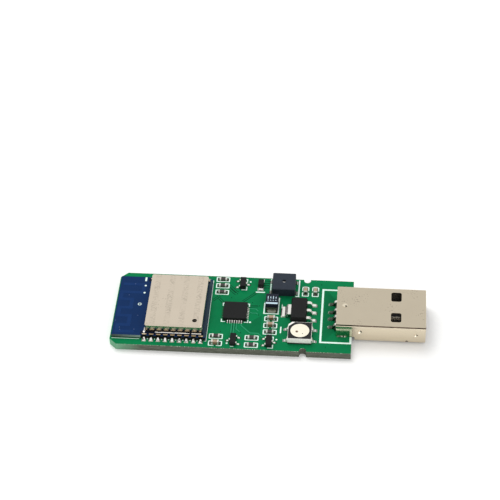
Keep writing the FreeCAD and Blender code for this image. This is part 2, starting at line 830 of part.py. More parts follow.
def make_leg_solder():
    """Solder that fills the board's slots round the plug's legs, with a low collar outside."""
    leg_x, leg_y = leg_place()
    joints = []
    for side in (-1, 1):
        fill = slot_prism(leg_length + 2 * leg_clearance, plug_sheet + 2 * leg_clearance, leg_solder_inset,
                          board_top, leg_x, side * leg_y)
        collar = solder_fillet(leg_length, leg_joint_reach, leg_joint_rise)
        collar = moved(collar, leg_x, side * plug_width / 2, board_top, side * 90)
        joints.append(fill.cut(plug_leg(side)).fuse(collar))
    keep("usb_leg_solder", *joints)


def make_plug_inside():
    """Moulded insulator with its tongue, and four contacts whose tails reach the board."""
    slack = insulator_clearance
    low = plug_bottom + plug_sheet
    high = plug_top - plug_sheet - slack
    half = plug_width / 2 - plug_sheet - slack
    block_front = plug_mouth - mating_depth
    edge = board_right + plug_edge_clearance
    inner_corner = plug_corner - plug_sheet
    body = block(edge, block_front, -half, half, low, high)
    body = body.makeFillet(inner_corner, edges_where(body, lambda item: runs_along(item, ALONG_X)))
    over_board = block(plug_rear + insulator_inset, edge + run_on, -half, half, board_top, high)
    over_board = over_board.makeFillet(inner_corner, edges_where(
        over_board, lambda item: runs_along(item, ALONG_X) and item.Vertexes[0].Z > high - 0.001))
    comb = block(plug_rear - comb_out, edge, -comb_width / 2, comb_width / 2, board_top, board_top + comb_height)
    tongue_top = low + tongue_height
    tongue_front = plug_mouth - tongue_set_back
    lip = tongue_front - tongue_lead_in
    outline = [
        (block_front - run_on, low),
        (tongue_front, low),
        (tongue_front, tongue_top - tongue_lead_in),
        (lip, tongue_top),
        (block_front - run_on, tongue_top),
    ]
    tongue = closed_face([Vector(x, -half, z) for x, z in outline]).extrude(Vector(0, 2 * half, 0))
    tongue = tongue.makeFillet(inner_corner, edges_where(
        tongue, lambda item: runs_along(item, ALONG_X) and item.Vertexes[0].Z < low + 0.001))
    insulator = body.fuse(over_board).fuse(tongue).fuse(comb).removeSplitter()

    contact_top = tongue_top + contact_proud
    middle = contact_top - contact_thickness / 2
    drop_x = plug_rear - tail_drop
    for number, (row, set_back) in enumerate(zip(contact_rows, contact_set_backs), 1):
        tip = plug_mouth - set_back
        blade = block(block_front - run_on, tip, -contact_width / 2, contact_width / 2,
                      contact_top - contact_thickness, contact_top)
        foot_z = board_top + contact_thickness / 2
        route = ((block_front - tail_root, middle), (drop_x, middle), (drop_x, foot_z), (tail_toe(), foot_z))
        tail = bent_strip(eased(route, tail_bend), contact_thickness, tail_width)
        contact = moved(blade.fuse(tail), 0, row).removeSplitter()
        keep(f"usb_contact_{number}", contact)
        room = contact_clearance
        bed = block(block_front - run_on, tip + room, row - contact_width / 2 - room,
                    row + contact_width / 2 + room, contact_top - contact_thickness, contact_top)
        duct = block(plug_rear, block_front, row - tail_width / 2 - room, row + tail_width / 2 + room,
                     contact_top - contact_thickness, contact_top)
        insulator = insulator.cut(bed).cut(duct)
    keep("usb_insulator", insulator)


def main():
    make_main_board()
    make_radio_module()
    make_shield_can()
    make_parts_in_can()
    make_serial_chip()
    make_buzzer()
    make_regulator()
    make_colour_light()
    make_transistors()
    make_diode()
    make_tantalum()
    make_chips("resistor", resistor_places, resistor_height)
    make_chips("capacitor", capacitor_places, capacitor_height)
    make_solder_joints()
    make_plug_shell()
    make_leg_solder()
    make_plug_inside()
    os.makedirs("parts", exist_ok=True)
    for name, shape in nodes.items():
        if not shape.isValid():
            raise ValueError(f"{name} isn't valid")
        shape.exportStep(f"parts/{name}.step")
    print(len(nodes), "nodes", sum(len(shape.Solids) for shape in nodes.values()), "solids")


main()
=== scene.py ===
import json
import math

import bmesh
import bpy
from bpy.props import FloatProperty, FloatVectorProperty, PointerProperty
from mathutils import Matrix, Vector

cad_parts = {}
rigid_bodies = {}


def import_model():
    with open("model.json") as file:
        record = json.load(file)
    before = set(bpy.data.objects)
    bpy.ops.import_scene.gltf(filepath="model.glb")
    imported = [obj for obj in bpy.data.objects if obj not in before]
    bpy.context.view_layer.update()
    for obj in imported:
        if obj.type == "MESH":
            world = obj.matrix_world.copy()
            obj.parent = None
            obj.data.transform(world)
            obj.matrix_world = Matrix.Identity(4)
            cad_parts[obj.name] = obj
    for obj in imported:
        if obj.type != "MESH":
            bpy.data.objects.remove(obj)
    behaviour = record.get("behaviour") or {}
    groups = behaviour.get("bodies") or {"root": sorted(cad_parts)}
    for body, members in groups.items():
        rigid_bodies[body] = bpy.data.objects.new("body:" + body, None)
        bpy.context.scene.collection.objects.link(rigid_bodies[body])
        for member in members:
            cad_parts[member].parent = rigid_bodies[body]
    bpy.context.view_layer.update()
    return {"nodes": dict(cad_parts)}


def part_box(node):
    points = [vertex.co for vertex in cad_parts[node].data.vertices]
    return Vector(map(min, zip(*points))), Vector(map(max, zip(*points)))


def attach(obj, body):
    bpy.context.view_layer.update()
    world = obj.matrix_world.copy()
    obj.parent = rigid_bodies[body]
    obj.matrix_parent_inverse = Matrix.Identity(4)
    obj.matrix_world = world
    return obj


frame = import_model()

# Looks of a bare circuit-board stick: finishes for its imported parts, and the print, copper, gold and
# traces on its boards. Drawings are in millimetres and are brought to metres when a piece is finished.
# X and Y on a board are given from its left end and from its centre line.

bl_info = {
    "name": "Attack detector stick",
    "version": (1, 0, 0),
    "blender": (4, 5, 0),
    "location": "View3D > Sidebar > Detector",
    "description": "Finishes, print, copper and traces of a bare circuit-board stick with a USB plug",
    "category": "Object",
}

MM = 0.001
BODY = "root"
SINK = 0.004


def in_mm(corner):
    return Vector(corner) / MM


def linear(hex_colour):
    """An sRGB colour such as "1B7A4C" as the linear red, green and blue that shaders use."""
    parts = [int(hex_colour[i:i + 2], 16) / 255 for i in (0, 2, 4)]
    return tuple(c / 12.92 if c <= 0.04045 else ((c + 0.055) / 1.055) ** 2.4 for c in parts)


board_low, board_high = (in_mm(corner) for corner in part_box("main_board"))
module_low, module_high = (in_mm(corner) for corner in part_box("module_board"))
LEFT = board_low.x
TOP = board_high.z
MODULE_TOP = module_high.z
PLUG_LOW = in_mm(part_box("usb_shell")[1]).z - 4.5


def middle(node):
    """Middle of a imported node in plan, from the board's left end and centre line, and its size."""
    low, high = (in_mm(corner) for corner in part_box(node))
    return (low.x + high.x) / 2 - LEFT, (low.y + high.y) / 2, high - low


def colour_property(name, description, hex_colour):
    return FloatVectorProperty(name=name, description=description, subtype="COLOR", size=3,
                               min=0, max=1, default=linear(hex_colour))


def length_property(name, description, millimetres):
    return FloatProperty(name=name, description=description, subtype="DISTANCE", unit="LENGTH",
                         min=0, default=millimetres * MM, precision=6)


class MaskSettings(bpy.types.PropertyGroup):
    """Colours of the solder mask, of the laminate's cut edges and of the radio module."""

    over_copper: colour_property("Mask over copper", "Green mask where copper lies under it", "087F4B")
    over_laminate: colour_property("Mask over laminate", "Green mask where there is no copper", "0B5237")
    edge: colour_property("Cut edge", "Glass and resin of the board's cut edges", "767A6E")
    edge_shade: colour_property("Cut edge shade", "Darker layers of the cut edges", "50544A")
    module: colour_property("Module mask", "Blue mask of the radio module", "14305C")
    module_copper: colour_property("Module mask over copper", "Blue mask over the aerial", "183667")


class PrintSettings(bpy.types.PropertyGroup):
    """The white print on both boards."""

    ink: colour_property("Ink", "White printing ink", "EAFFF6")
    line: length_property("Line width", "Width of the outlines round the small parts", 0.22)
    plug_line: length_property("Plug line width", "Width of the outline round the plug", 0.42)
    thickness: length_property("Ink thickness", "Height of the ink on the mask", 0.02)
    corner: length_property("Corner radius", "Radius of the outlines' corners", 0.18)


class CopperSettings(bpy.types.PropertyGroup):
    """Tinned lands, traces and gold plating."""

    land_thickness: length_property("Land thickness", "Height of the tinned lands", 0.03)
    trace_width: length_property("Trace width", "Width of the fine traces", 0.25)
    clearance: length_property("Clearance", "Gap between a trace and the copper round it", 0.17)
    gold: colour_property("Gold", "Gold plating of the module's half holes", "E8D8B8")
    tin: colour_property("Tin", "Tinned leads and lands", "F0EEE7")
    solder: colour_property("Solder", "Soldered joints", "EFEDE7")


class MetalSettings(bpy.types.PropertyGroup):
    """Sheet metal of the plug and of the radio's can."""

    plug: colour_property("Plug metal", "Nickel plate on the plug's sheet", "C4B9A4")
    can: colour_property("Can metal", "Nickel silver of the radio's can", "D3C7B5")


class StageSettings(bpy.types.PropertyGroup):
    """Floor and lamps."""

    floor_size: FloatProperty(name="Floor size", description="Side of the floor", subtype="DISTANCE",
                              unit="LENGTH", default=6.0, min=0.5)
    key_power: FloatProperty(name="Key lamp", description="Power of the lamp behind and to the left",
                             subtype="POWER", unit="POWER", default=4.2, min=0)
    fill_power: FloatProperty(name="Fill lamp", description="Power of the lamp beside the camera",
                              subtype="POWER", unit="POWER", default=1.5, min=0)
    floor_lift: FloatProperty(name="Floor lift", description="White added where the floor is seen directly",
                              subtype="FACTOR", default=0.06, min=0, max=1)
    sky_level: FloatProperty(name="Sky level", description="Light from all round on matt surfaces",
                             subtype="FACTOR", default=0.54, min=0, max=2)


# Drawing helpers. A piece is drawn flat in edit mode and gets its thickness at the end.

def open_piece(name):
    """Starts a piece in edit mode at the origin with nothing in it yet."""
    bpy.ops.object.select_all(action="DESELECT")
    bpy.ops.mesh.primitive_plane_add(size=1, location=(0, 0, 0))
    piece = bpy.context.object
    piece.name = name
    piece.data.name = name
    bpy.ops.object.mode_set(mode="EDIT")
    bpy.ops.mesh.select_mode(type="VERT")
    bpy.ops.mesh.delete(type="VERT")
    return piece


def close_piece(piece, finish, thickness=0.0):
    """Gives a drawing its thickness upwards, brings it to metres and hands it to the frame."""
    bpy.ops.object.mode_set(mode="OBJECT")
    if thickness:
        bpy.ops.object.modifier_add(type="SOLIDIFY")
        wall = piece.modifiers[-1]
        wall.thickness = thickness
        wall.offset = 1.0
        bpy.ops.object.modifier_apply(modifier=wall.name)
    piece.scale = (MM, MM, MM)
    bpy.ops.object.transform_apply(location=False, rotation=False, scale=True)
    piece.data.materials.append(finish)
    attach(piece, BODY)
    return piece


def selected_points():
    mesh = bmesh.from_edit_mesh(bpy.context.object.data)
    return mesh, [vertex for vertex in mesh.verts if vertex.select]


def draw_plate(x, y, z, length, width, corner=0.0, turn=0.0):
    """A rectangle, with round corners if a radius is given, left selected."""
    place = (LEFT + x, y, z)
    bpy.ops.mesh.primitive_plane_add(size=1, location=place)
    bpy.ops.transform.resize(value=(length, width, 1), center_override=place)
    if corner:
        bpy.ops.mesh.bevel(offset=corner, affect="VERTICES", segments=3)
    if turn:
        bpy.ops.transform.rotate(value=math.radians(turn), orient_axis="Z", center_override=place)


def draw_frame(x, y, z, length, width, line, corner):
    """An outline with round corners: a plate whose middle is inset and taken out."""
    draw_plate(x, y, z, length, width, corner)
    bpy.ops.mesh.inset(thickness=line)
    bpy.ops.mesh.delete(type="FACE")


def draw_dot(x, y, z, radius, inner=0.0, points=14):
    """A disc, or a ring if it has an inner radius."""
    bpy.ops.mesh.primitive_circle_add(vertices=points, radius=radius, fill_type="NGON",
                                      location=(LEFT + x, y, z))
    if inner:
        bpy.ops.mesh.inset(thickness=radius - inner)
        bpy.ops.mesh.delete(type="FACE")


def draw_area(corners, z):
    """A flat area with those corners, given against the clock."""
    bpy.ops.mesh.primitive_circle_add(vertices=len(corners), fill_type="NGON", location=(0, 0, z))
    mesh, _ = selected_points()
    face = next(face for face in mesh.faces if face.select)
    for point, (x, y) in zip(face.verts, corners):
        point.co = (LEFT + x, y, z)
    face.normal_update()
    bmesh.update_edit_mesh(bpy.context.object.data)


def draw_line(route, width, z):
    """A flat line along a route of (x, y) points: a plane whose end edge is extruded from
    corner to corner, with each corner mitred."""
    points = [Vector((LEFT + x, y)) for x, y in route]
    runs = [(b - a).normalized() for a, b in zip(points, points[1:])]
    sides = []
    for index, point in enumerate(points):
        before = runs[max(index - 1, 0)]
        after = runs[min(index, len(runs) - 1)]
        left = Vector((-(before + after).y, (before + after).x)).normalized()
        reach = width / 2 / left.dot(Vector((-after.y, after.x)))
        sides.append((point - left * reach, point + left * reach))
    bpy.ops.mesh.primitive_plane_add(size=1, location=(0, 0, z))
    mesh, corners = selected_points()
    for corner, (x, y) in zip(corners, (sides[0][0], sides[1][0], sides[0][1], sides[1][1])):
        corner.co = (x, y, z)
    ends = [corners[1].co.copy(), corners[3].co.copy()]
    for right, left in sides[2:]:
        for vertex in selected_points()[1]:
            vertex.select = min((vertex.co - end).length for end in ends) < 1e-4
        mesh.select_flush_mode()
        bmesh.update_edit_mesh(bpy.context.object.data)
        bpy.ops.mesh.extrude_edges_move()
        mesh, moved = selected_points()
        for vertex in moved:
            on_right = (vertex.co - ends[0]).length < (vertex.co - ends[1]).length
            vertex.co = (*(right if on_right else left), z)
        ends = [Vector((*right, z)), Vector((*left, z))]
        mesh.normal_update()
    bmesh.update_edit_mesh(bpy.context.object.data)


# Shader helpers

def add_node(tree, kind, settings=None, links=None):
    """Adds a shader node. A setting goes to the socket of that name or number, or to a property
    of the node; a link joins another node's output to a socket."""
    node = tree.nodes.new(kind)
    for key, value in (settings or {}).items():
        if isinstance(key, int) or key in node.inputs:
            node.inputs[key].default_value = value
        else:
            setattr(node, key, value)
    for key, output in (links or {}).items():
        tree.links.new(output, node.inputs[key])
    return node


def start_finish(name, roughness, metallic=0.0, **sockets):
    """A material with one principled shader. Returns it with its tree, its shader, and object
    coordinates in millimetres."""
    material = bpy.data.materials.new(name)
    material.use_nodes = True
    tree = material.node_tree
    shader = tree.nodes["Principled BSDF"]
    shader.inputs["Roughness"].default_value = roughness
    shader.inputs["Metallic"].default_value = metallic
    for key, value in sockets.items():
        shader.inputs[key.replace("_", " ")].default_value = value
    where = add_node(tree, "ShaderNodeTexCoord")
    place = add_node(tree, "ShaderNodeMapping", {"Scale": (1 / MM,) * 3}, {"Vector": where.outputs["Object"]})
    return material, tree, shader, place.outputs["Vector"]


def blotches(tree, place, size, low=0.0, high=1.0, stretch=(1, 1, 1), detail=3.0, sharp=0.2, centre=0.5):
    """A soft random pattern from low to high. Size is the blotches' width in millimetres, stretch
    makes them longer along an axis, and a centre above a half makes them rare."""
    scaled = add_node(tree, "ShaderNodeMapping", {"Scale": tuple(1 / (size * s) for s in stretch)},
                      {"Vector": place})
    noise = add_node(tree, "ShaderNodeTexNoise", {"Scale": 1.0, "Detail": detail},
                     {"Vector": scaled.outputs["Vector"]})
    spread = add_node(tree, "ShaderNodeMapRange",
                      {"From Min": centre - sharp, "From Max": centre + sharp, "To Min": low, "To Max": high},
                      {"Value": noise.outputs[0]})
    return spread.outputs[0]


def two_colours(tree, factor, first, second):
    """Mixes two colours, each a linear colour or another node's output, by a factor's output."""
    settings, links = {"data_type": "RGBA"}, {0: factor}
    for socket, colour in ((6, first), (7, second)):
        if isinstance(colour, bpy.types.NodeSocket):
            links[socket] = colour
        else:
            settings[socket] = (*colour, 1.0)
    return add_node(tree, "ShaderNodeMix", settings, links).outputs[2]


def spot_on(tree, place, centre, radius, under, colour):
    """A round soft-edged spot of a colour on another colour."""
    away = add_node(tree, "ShaderNodeVectorMath", {"operation": "DISTANCE", 1: tuple(centre)}, {0: place})
    near = add_node(tree, "ShaderNodeMapRange", {"From Min": radius, "From Max": radius * 0.6},
                    {"Value": away.outputs["Value"]})
    return two_colours(tree, near.outputs[0], under, colour)


def emboss(tree, shader, height, depth, strength=1.0):
    """Joins a height pattern to the shader's normal. Depth is in millimetres."""
    bump = add_node(tree, "ShaderNodeBump", {"Strength": strength, "Distance": depth * MM}, {"Height": height})
    tree.links.new(bump.outputs["Normal"], shader.inputs["Normal"])


def seen_directly(tree):
    """One where the camera, a reflection or a ray through glass meets the surface, or else nought."""
    path = add_node(tree, "ShaderNodeLightPath")
    seen = add_node(tree, "ShaderNodeMath", {"operation": "MAXIMUM"},
                    {0: path.outputs["Is Camera Ray"], 1: path.outputs["Is Glossy Ray"]})
    seen = add_node(tree, "ShaderNodeMath", {"operation": "MAXIMUM"},
                    {0: seen.outputs[0], 1: path.outputs["Is Transmission Ray"]})
    return seen.outputs[0]


def shade_of(colour, factor):
    return tuple(min(c * factor, 1.0) for c in colour)


def dress(finish, *names):
    """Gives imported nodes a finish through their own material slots."""
    for name in names:
        for slot in frame["nodes"][name].material_slots:
            slot.material = finish


# Finishes

def masked_laminate(name, mask, mask_shade, edge, edge_shade, left_edge_painted_light, edge_lip, lip, fleck, lip_end, high):
    """Liquid solder mask printed and baked on glass-epoxy laminate: a smooth, slightly uneven skin
    on the two faces, and cut edges that show the layers of glass and the router's marks. Over the
    last 7 mm to the left end the cut edge is blended towards a colour given for that end: on the
    green board a lighter green, a painted light."""
    material, tree, shader, place = start_finish(name, 0.4, Specular_IOR_Level=0.045)
    where = add_node(tree, "ShaderNodeTexCoord")
    normal = add_node(tree, "ShaderNodeSeparateXYZ", links={0: where.outputs["Normal"]})
    upright = add_node(tree, "ShaderNodeMath", {"operation": "ABSOLUTE"}, {0: normal.outputs["Z"]})
    on_face = add_node(tree, "ShaderNodeMath", {"operation": "GREATER_THAN", 1: 0.5}, {0: upright.outputs[0]})
    skin = two_colours(tree, blotches(tree, place, 5.0, 0.0, 0.35), mask, mask_shade)
    cloth = add_node(tree, "ShaderNodeTexBrick",
                     {"Scale": 1.0, "Brick Width": 0.6, "Row Height": 0.6, "Mortar Size": 0.04,
                      "Color1": (1, 1, 1, 1), "Color2": (0.8, 0.8, 0.8, 1), "Mortar": (0.4, 0.4, 0.4, 1)},
                     {"Vector": place})
    weave = add_node(tree, "ShaderNodeMath", {"operation": "MULTIPLY", 1: 0.07}, {0: cloth.outputs["Fac"]})
    skin = two_colours(tree, weave.outputs[0], skin, mask_shade)
    layers = blotches(tree, place, 0.16, 0.0, 1.0, stretch=(9, 9, 1), detail=4.0)
    router = blotches(tree, place, 0.5, 0.0, 0.5, stretch=(1, 1, 6))
    side = two_colours(tree, layers, edge_shade, edge)
    side = two_colours(tree, router, side, shade_of(edge, 0.7))
    spot = add_node(tree, "ShaderNodeSeparateXYZ", links={0: place})
    # Painted light: over its last 7 mm to the left end the cut edge is blended towards the left end's colour.
    toward_left_painted_light = add_node(tree, "ShaderNodeMapRange",
                       {"From Min": LEFT + 7.0, "From Max": LEFT, "To Min": 0.0, "To Max": 0.85},
                       {"Value": spot.outputs["X"]})
    burr = add_node(tree, "ShaderNodeMapRange",
                    {"From Min": high - lip, "From Max": high - lip * 0.8, "To Max": 1.0},
                    {"Value": spot.outputs["Z"]})
    flecks = blotches(tree, place, 0.25, fleck, 1.0, sharp=0.06, centre=0.58)
    before = add_node(tree, "ShaderNodeMath", {"operation": "LESS_THAN", 1: lip_end}, {0: spot.outputs["X"]})
    chipped = add_node(tree, "ShaderNodeMath", {"operation": "MULTIPLY"}, {0: burr.outputs[0], 1: flecks})
    chipped = add_node(tree, "ShaderNodeMath", {"operation": "MULTIPLY"},
                       {0: chipped.outputs[0], 1: before.outputs[0]})
    side = two_colours(tree, chipped.outputs[0], side, edge_lip)
    side = two_colours(tree, toward_left_painted_light.outputs[0], side, left_edge_painted_light)
    tree.links.new(two_colours(tree, on_face.outputs[0], side, skin), shader.inputs["Base Color"])
    matt = add_node(tree, "ShaderNodeMapRange", {"To Min": 0.85, "To Max": 0.36}, {"Value": on_face.outputs[0]})
    tree.links.new(matt.outputs[0], shader.inputs["Roughness"])
    emboss(tree, shader, blotches(tree, place, 0.4, detail=4.0), 0.006)
    return material


def flat_mask(name, colour):
    """The same solder mask where it is lifted by copper, or lies lower between it."""
    material, tree, shader, place = start_finish(name, 0.38, Specular_IOR_Level=0.045)
    tree.links.new(two_colours(tree, blotches(tree, place, 2.0, 0.0, 0.4), colour, shade_of(colour, 0.75)),
                   shader.inputs["Base Color"])
    emboss(tree, shader, blotches(tree, place, 0.3), 0.004)
    return material


def printing_ink(name, colour):
    """Epoxy printing ink, screened on: matt, a little thin in places, so some green shows in it."""
    material, tree, shader, place = start_finish(name, 0.6, Specular_IOR_Level=0.2)
    thin = blotches(tree, place, 0.35, 0.0, 0.18, sharp=0.15)
    tree.links.new(two_colours(tree, thin, colour, shade_of(colour, 0.85)), shader.inputs["Base Color"])
    emboss(tree, shader, blotches(tree, place, 0.1), 0.006)
    return material


def plated_sheet(name, colour, roughness, along, marks, wall_light_and_shade):
    """Plated steel or nickel silver, rolled and then pressed: satin, with fine lines along the rolling
    direction, faint stains from handling and a few specks. The walls facing along Y are painted a
    little lighter or darker than the top, a painted light and shade. Marks adds what one sheet alone has."""
    material, tree, shader, place = start_finish(name, roughness, 1.0)
    stains = blotches(tree, place, 3.5, 0.0, 0.5, detail=4.0)
    metal = two_colours(tree, stains, colour, shade_of(colour, 0.95))
    specks = blotches(tree, place, 0.35, 0.0, 0.45, detail=0.0, sharp=0.04, centre=0.7)
    groups = blotches(tree, place, 4.0, detail=0.0, sharp=0.06, centre=0.64)
    few = add_node(tree, "ShaderNodeMath", {"operation": "MULTIPLY"}, {0: specks, 1: groups})
    metal = two_colours(tree, few.outputs[0], metal, shade_of(colour, 0.4))
    # Painted light and shade: faces that look along Y get the sheet's colour times a factor of their own.
    where = add_node(tree, "ShaderNodeTexCoord")
    normal = add_node(tree, "ShaderNodeSeparateXYZ", links={0: where.outputs["Normal"]})
    wall = add_node(tree, "ShaderNodeMath", {"operation": "ABSOLUTE"}, {0: normal.outputs["Y"]})
    metal = two_colours(tree, wall.outputs[0], metal, shade_of(colour, wall_light_and_shade))
    metal = marks(tree, place, metal, colour)
    tree.links.new(metal, shader.inputs["Base Color"])
    lines = blotches(tree, place, 0.12, 0.0, 1.0, stretch=along, detail=5.0)
    gloss = add_node(tree, "ShaderNodeMapRange", {"To Min": roughness - 0.06, "To Max": roughness + 0.07},
                     {"Value": lines})
    tree.links.new(gloss.outputs[0], shader.inputs["Roughness"])
    emboss(tree, shader, lines, 0.003, 0.5)
    return material


def seam_with_painted_shade_and_highlights(tree, place, under, colour):
    """Dark brown in the plug's seam and in the nick below it, partly the sheet's bare cut edges and partly painted
    shade. Painted highlights and painted shade on the punched dimples, and a painted shade spot in the nick.
    """
    spot = add_node(tree, "ShaderNodeSeparateXYZ", links={0: place})
    low, high = (in_mm(corner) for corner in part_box("usb_shell"))
    seam = (("Y", "LESS_THAN", low.y + 0.35), ("Z", "GREATER_THAN", high.z - 0.37), ("Z", "LESS_THAN", high.z - 0.01))
    nick = (("Y", "LESS_THAN", low.y + 0.22), ("Z", "LESS_THAN", PLUG_LOW + 0.5), ("X", "GREATER_THAN", high.x - 4.16),
            ("X", "LESS_THAN", high.x - 3.64))
    # Seam and nick: dark brown, partly the bare cut edge and partly painted shade.
    for limits in (seam, nick):
        inside = None
        for axis, operation, limit in limits:
            part = add_node(tree, "ShaderNodeMath", {"operation": operation, 1: limit}, {0: spot.outputs[axis]})
            if inside:
                part = add_node(tree, "ShaderNodeMath", {"operation": "MULTIPLY"},
                                {0: inside.outputs[0], 1: part.outputs[0]})
            inside = part
        under = two_colours(tree, inside.outputs[0], under, two_colours(
            tree, blotches(tree, place, 1.2), linear("3B322B"), linear("7A6858")))
    # Painted highlight and painted shade on the top's punched dimple: a cream ring, a grey patch and a dark dot.
    centre = (low.x + 1.75, 0, high.z)
    for dx, dy, radius, spot_colour in ((0, 0, 0.66, "E2D8C2"), (0.3, -0.3, 0.3, "9A8F7C"), (0.2, 0, 0.24, "2A241E")):
        under = spot_on(tree, place, (centre[0] + dx, dy, high.z - 0.13), radius, under, linear(spot_colour))
    # Painted shade: a dark spot in the nick.
    under = spot_on(tree, place, (high.x - 3.9, low.y, PLUG_LOW + 0.45), 0.3, under, linear("2E241C"))
    # Painted highlights and painted shade on the walls' punched dimples: a cream spot with a dark dot beside it.
    for side in (-1, 1):
        for from_rear, above, radius, spot_colour in ((5.05, 1.5, 0.5, "ECE2CC"), (16.85, 1.15, 0.36, "DED2BA")):
            where = (low.x + from_rear, side * high.y, TOP + above)
            under = spot_on(tree, place, where, radius, under, linear(spot_colour))
            dark = (where[0] + 0.28, where[1] - side * 0.12, where[2] + 0.05)
            under = spot_on(tree, place, dark, 0.25, under, linear("3A3228"))
    return under


def laser_marks(tree, place, under, colour):
    """Faint burnt strokes in four columns on the can's top. They are plain broken strokes. Near the foot of the walls
    the metal is blended towards a beige, a painted reflection of the solder beside it.
    """
    spot = add_node(tree, "ShaderNodeSeparateXYZ", links={0: place})
    low, high = (in_mm(corner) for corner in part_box("shield_can"))
    column = (high.x - low.x) / 4
    from_edge = add_node(tree, "ShaderNodeMath", {"operation": "SUBTRACT", 1: low.x}, {0: spot.outputs["X"]})
    columns = add_node(tree, "ShaderNodeMath", {"operation": "PINGPONG", 1: column / 2},
                       {0: from_edge.outputs[0]})
    in_column = add_node(tree, "ShaderNodeMapRange",
                         {"From Min": column * 0.27, "From Max": column * 0.33},
                         {"Value": columns.outputs[0]})
    strokes = blotches(tree, place, 0.3, 0.0, 1.0, stretch=(1.2, 0.7, 30), detail=1.0, sharp=0.05)
    worn = blotches(tree, place, 2.4, 0.0, 0.75, stretch=(1, 1, 30))
    first = add_node(tree, "ShaderNodeMath", {"operation": "MULTIPLY"}, {0: in_column.outputs[0], 1: strokes})
    second = add_node(tree, "ShaderNodeMath", {"operation": "MULTIPLY", "use_clamp": True},
                      {0: first.outputs[0], 1: worn})
    high = add_node(tree, "ShaderNodeMath",
                    {"operation": "GREATER_THAN", 1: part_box("shield_can")[1].z / MM - 0.05},
                    {0: spot.outputs["Z"]})
    shown = add_node(tree, "ShaderNodeMath", {"operation": "MULTIPLY"}, {0: second.outputs[0], 1: high.outputs[0]})
    # Painted reflection: the walls' lowest part is blended towards a beige.
    foot = add_node(tree, "ShaderNodeMapRange", {"From Min": MODULE_TOP + 1.1, "From Max": MODULE_TOP + 0.7},
                    {"Value": spot.outputs["Z"]})
    marked = two_colours(tree, shown.outputs[0], under, shade_of(colour, 0.66))
    return two_colours(tree, foot.outputs[0], marked, linear("AEA392"))


def bright_metal(name, colour, roughness, size=0.25, shade=0.7, depth=0.01, sharp=0.2, centre=0.5, foot=None):
    """Tin or solder that froze from the melt: bright, with soft dents and duller patches. Below the
    height of its foot, if one is given, it is darker, with lighter spots round the tantalum's and diode's ends."""
    material, tree, shader, place = start_finish(name, roughness, 1.0)
    dull = blotches(tree, place, size, 0.0, 0.6 if sharp == 0.2 else 1.0, sharp=sharp, centre=centre)
    metal = two_colours(tree, dull, colour, shade_of(colour, shade))
    # Darker below the foot's height, with lighter spots round the tantalum's and diode's ends.
    if foot:
        spot = add_node(tree, "ShaderNodeSeparateXYZ", links={0: place})
        undarkened = add_node(tree, "ShaderNodeMapRange", {"From Min": foot - 0.04, "From Max": foot + 0.04},
                         {"Value": spot.outputs["Z"]})
        metal = two_colours(tree, undarkened.outputs[0], linear("28342B"), metal)
        for part, radius, tint in (("tantalum_body", 1.5, "85867A"), ("diode_body", 0.9, "FFFEFA")):
            x, y, measures = middle(part)
            for end in (-1, 1):
                centre = (LEFT + x, y + end * (measures.y / 2 + 0.4), foot)
                metal = spot_on(tree, place, centre, radius, metal, linear(tint))
    tree.links.new(metal, shader.inputs["Base Color"])
    gloss = add_node(tree, "ShaderNodeMapRange", {"To Min": roughness, "To Max": roughness + 0.14},
                     {"Value": dull})
    tree.links.new(gloss.outputs[0], shader.inputs["Roughness"])
    emboss(tree, shader, blotches(tree, place, size * 1.4, detail=1.0), depth)
    return material


def moulded_resin(name, colour, roughness=0.55, grain=0.09, level=0.35):
    """Filled epoxy or engineering plastic from a spark-eroded mould: matt, with a fine even grain
    and slightly paler specks of filler."""
    material, tree, shader, place = start_finish(name, roughness, Specular_IOR_Level=level)
    filler = blotches(tree, place, grain, 0.0, 0.7, detail=2.0)
    cloud = blotches(tree, place, 1.6, 0.0, 0.4)
    base = two_colours(tree, filler, colour, shade_of(colour, 1.6))
    tree.links.new(two_colours(tree, cloud, base, shade_of(colour, 0.8)), shader.inputs["Base Color"])
    emboss(tree, shader, filler, 0.008)
    return material


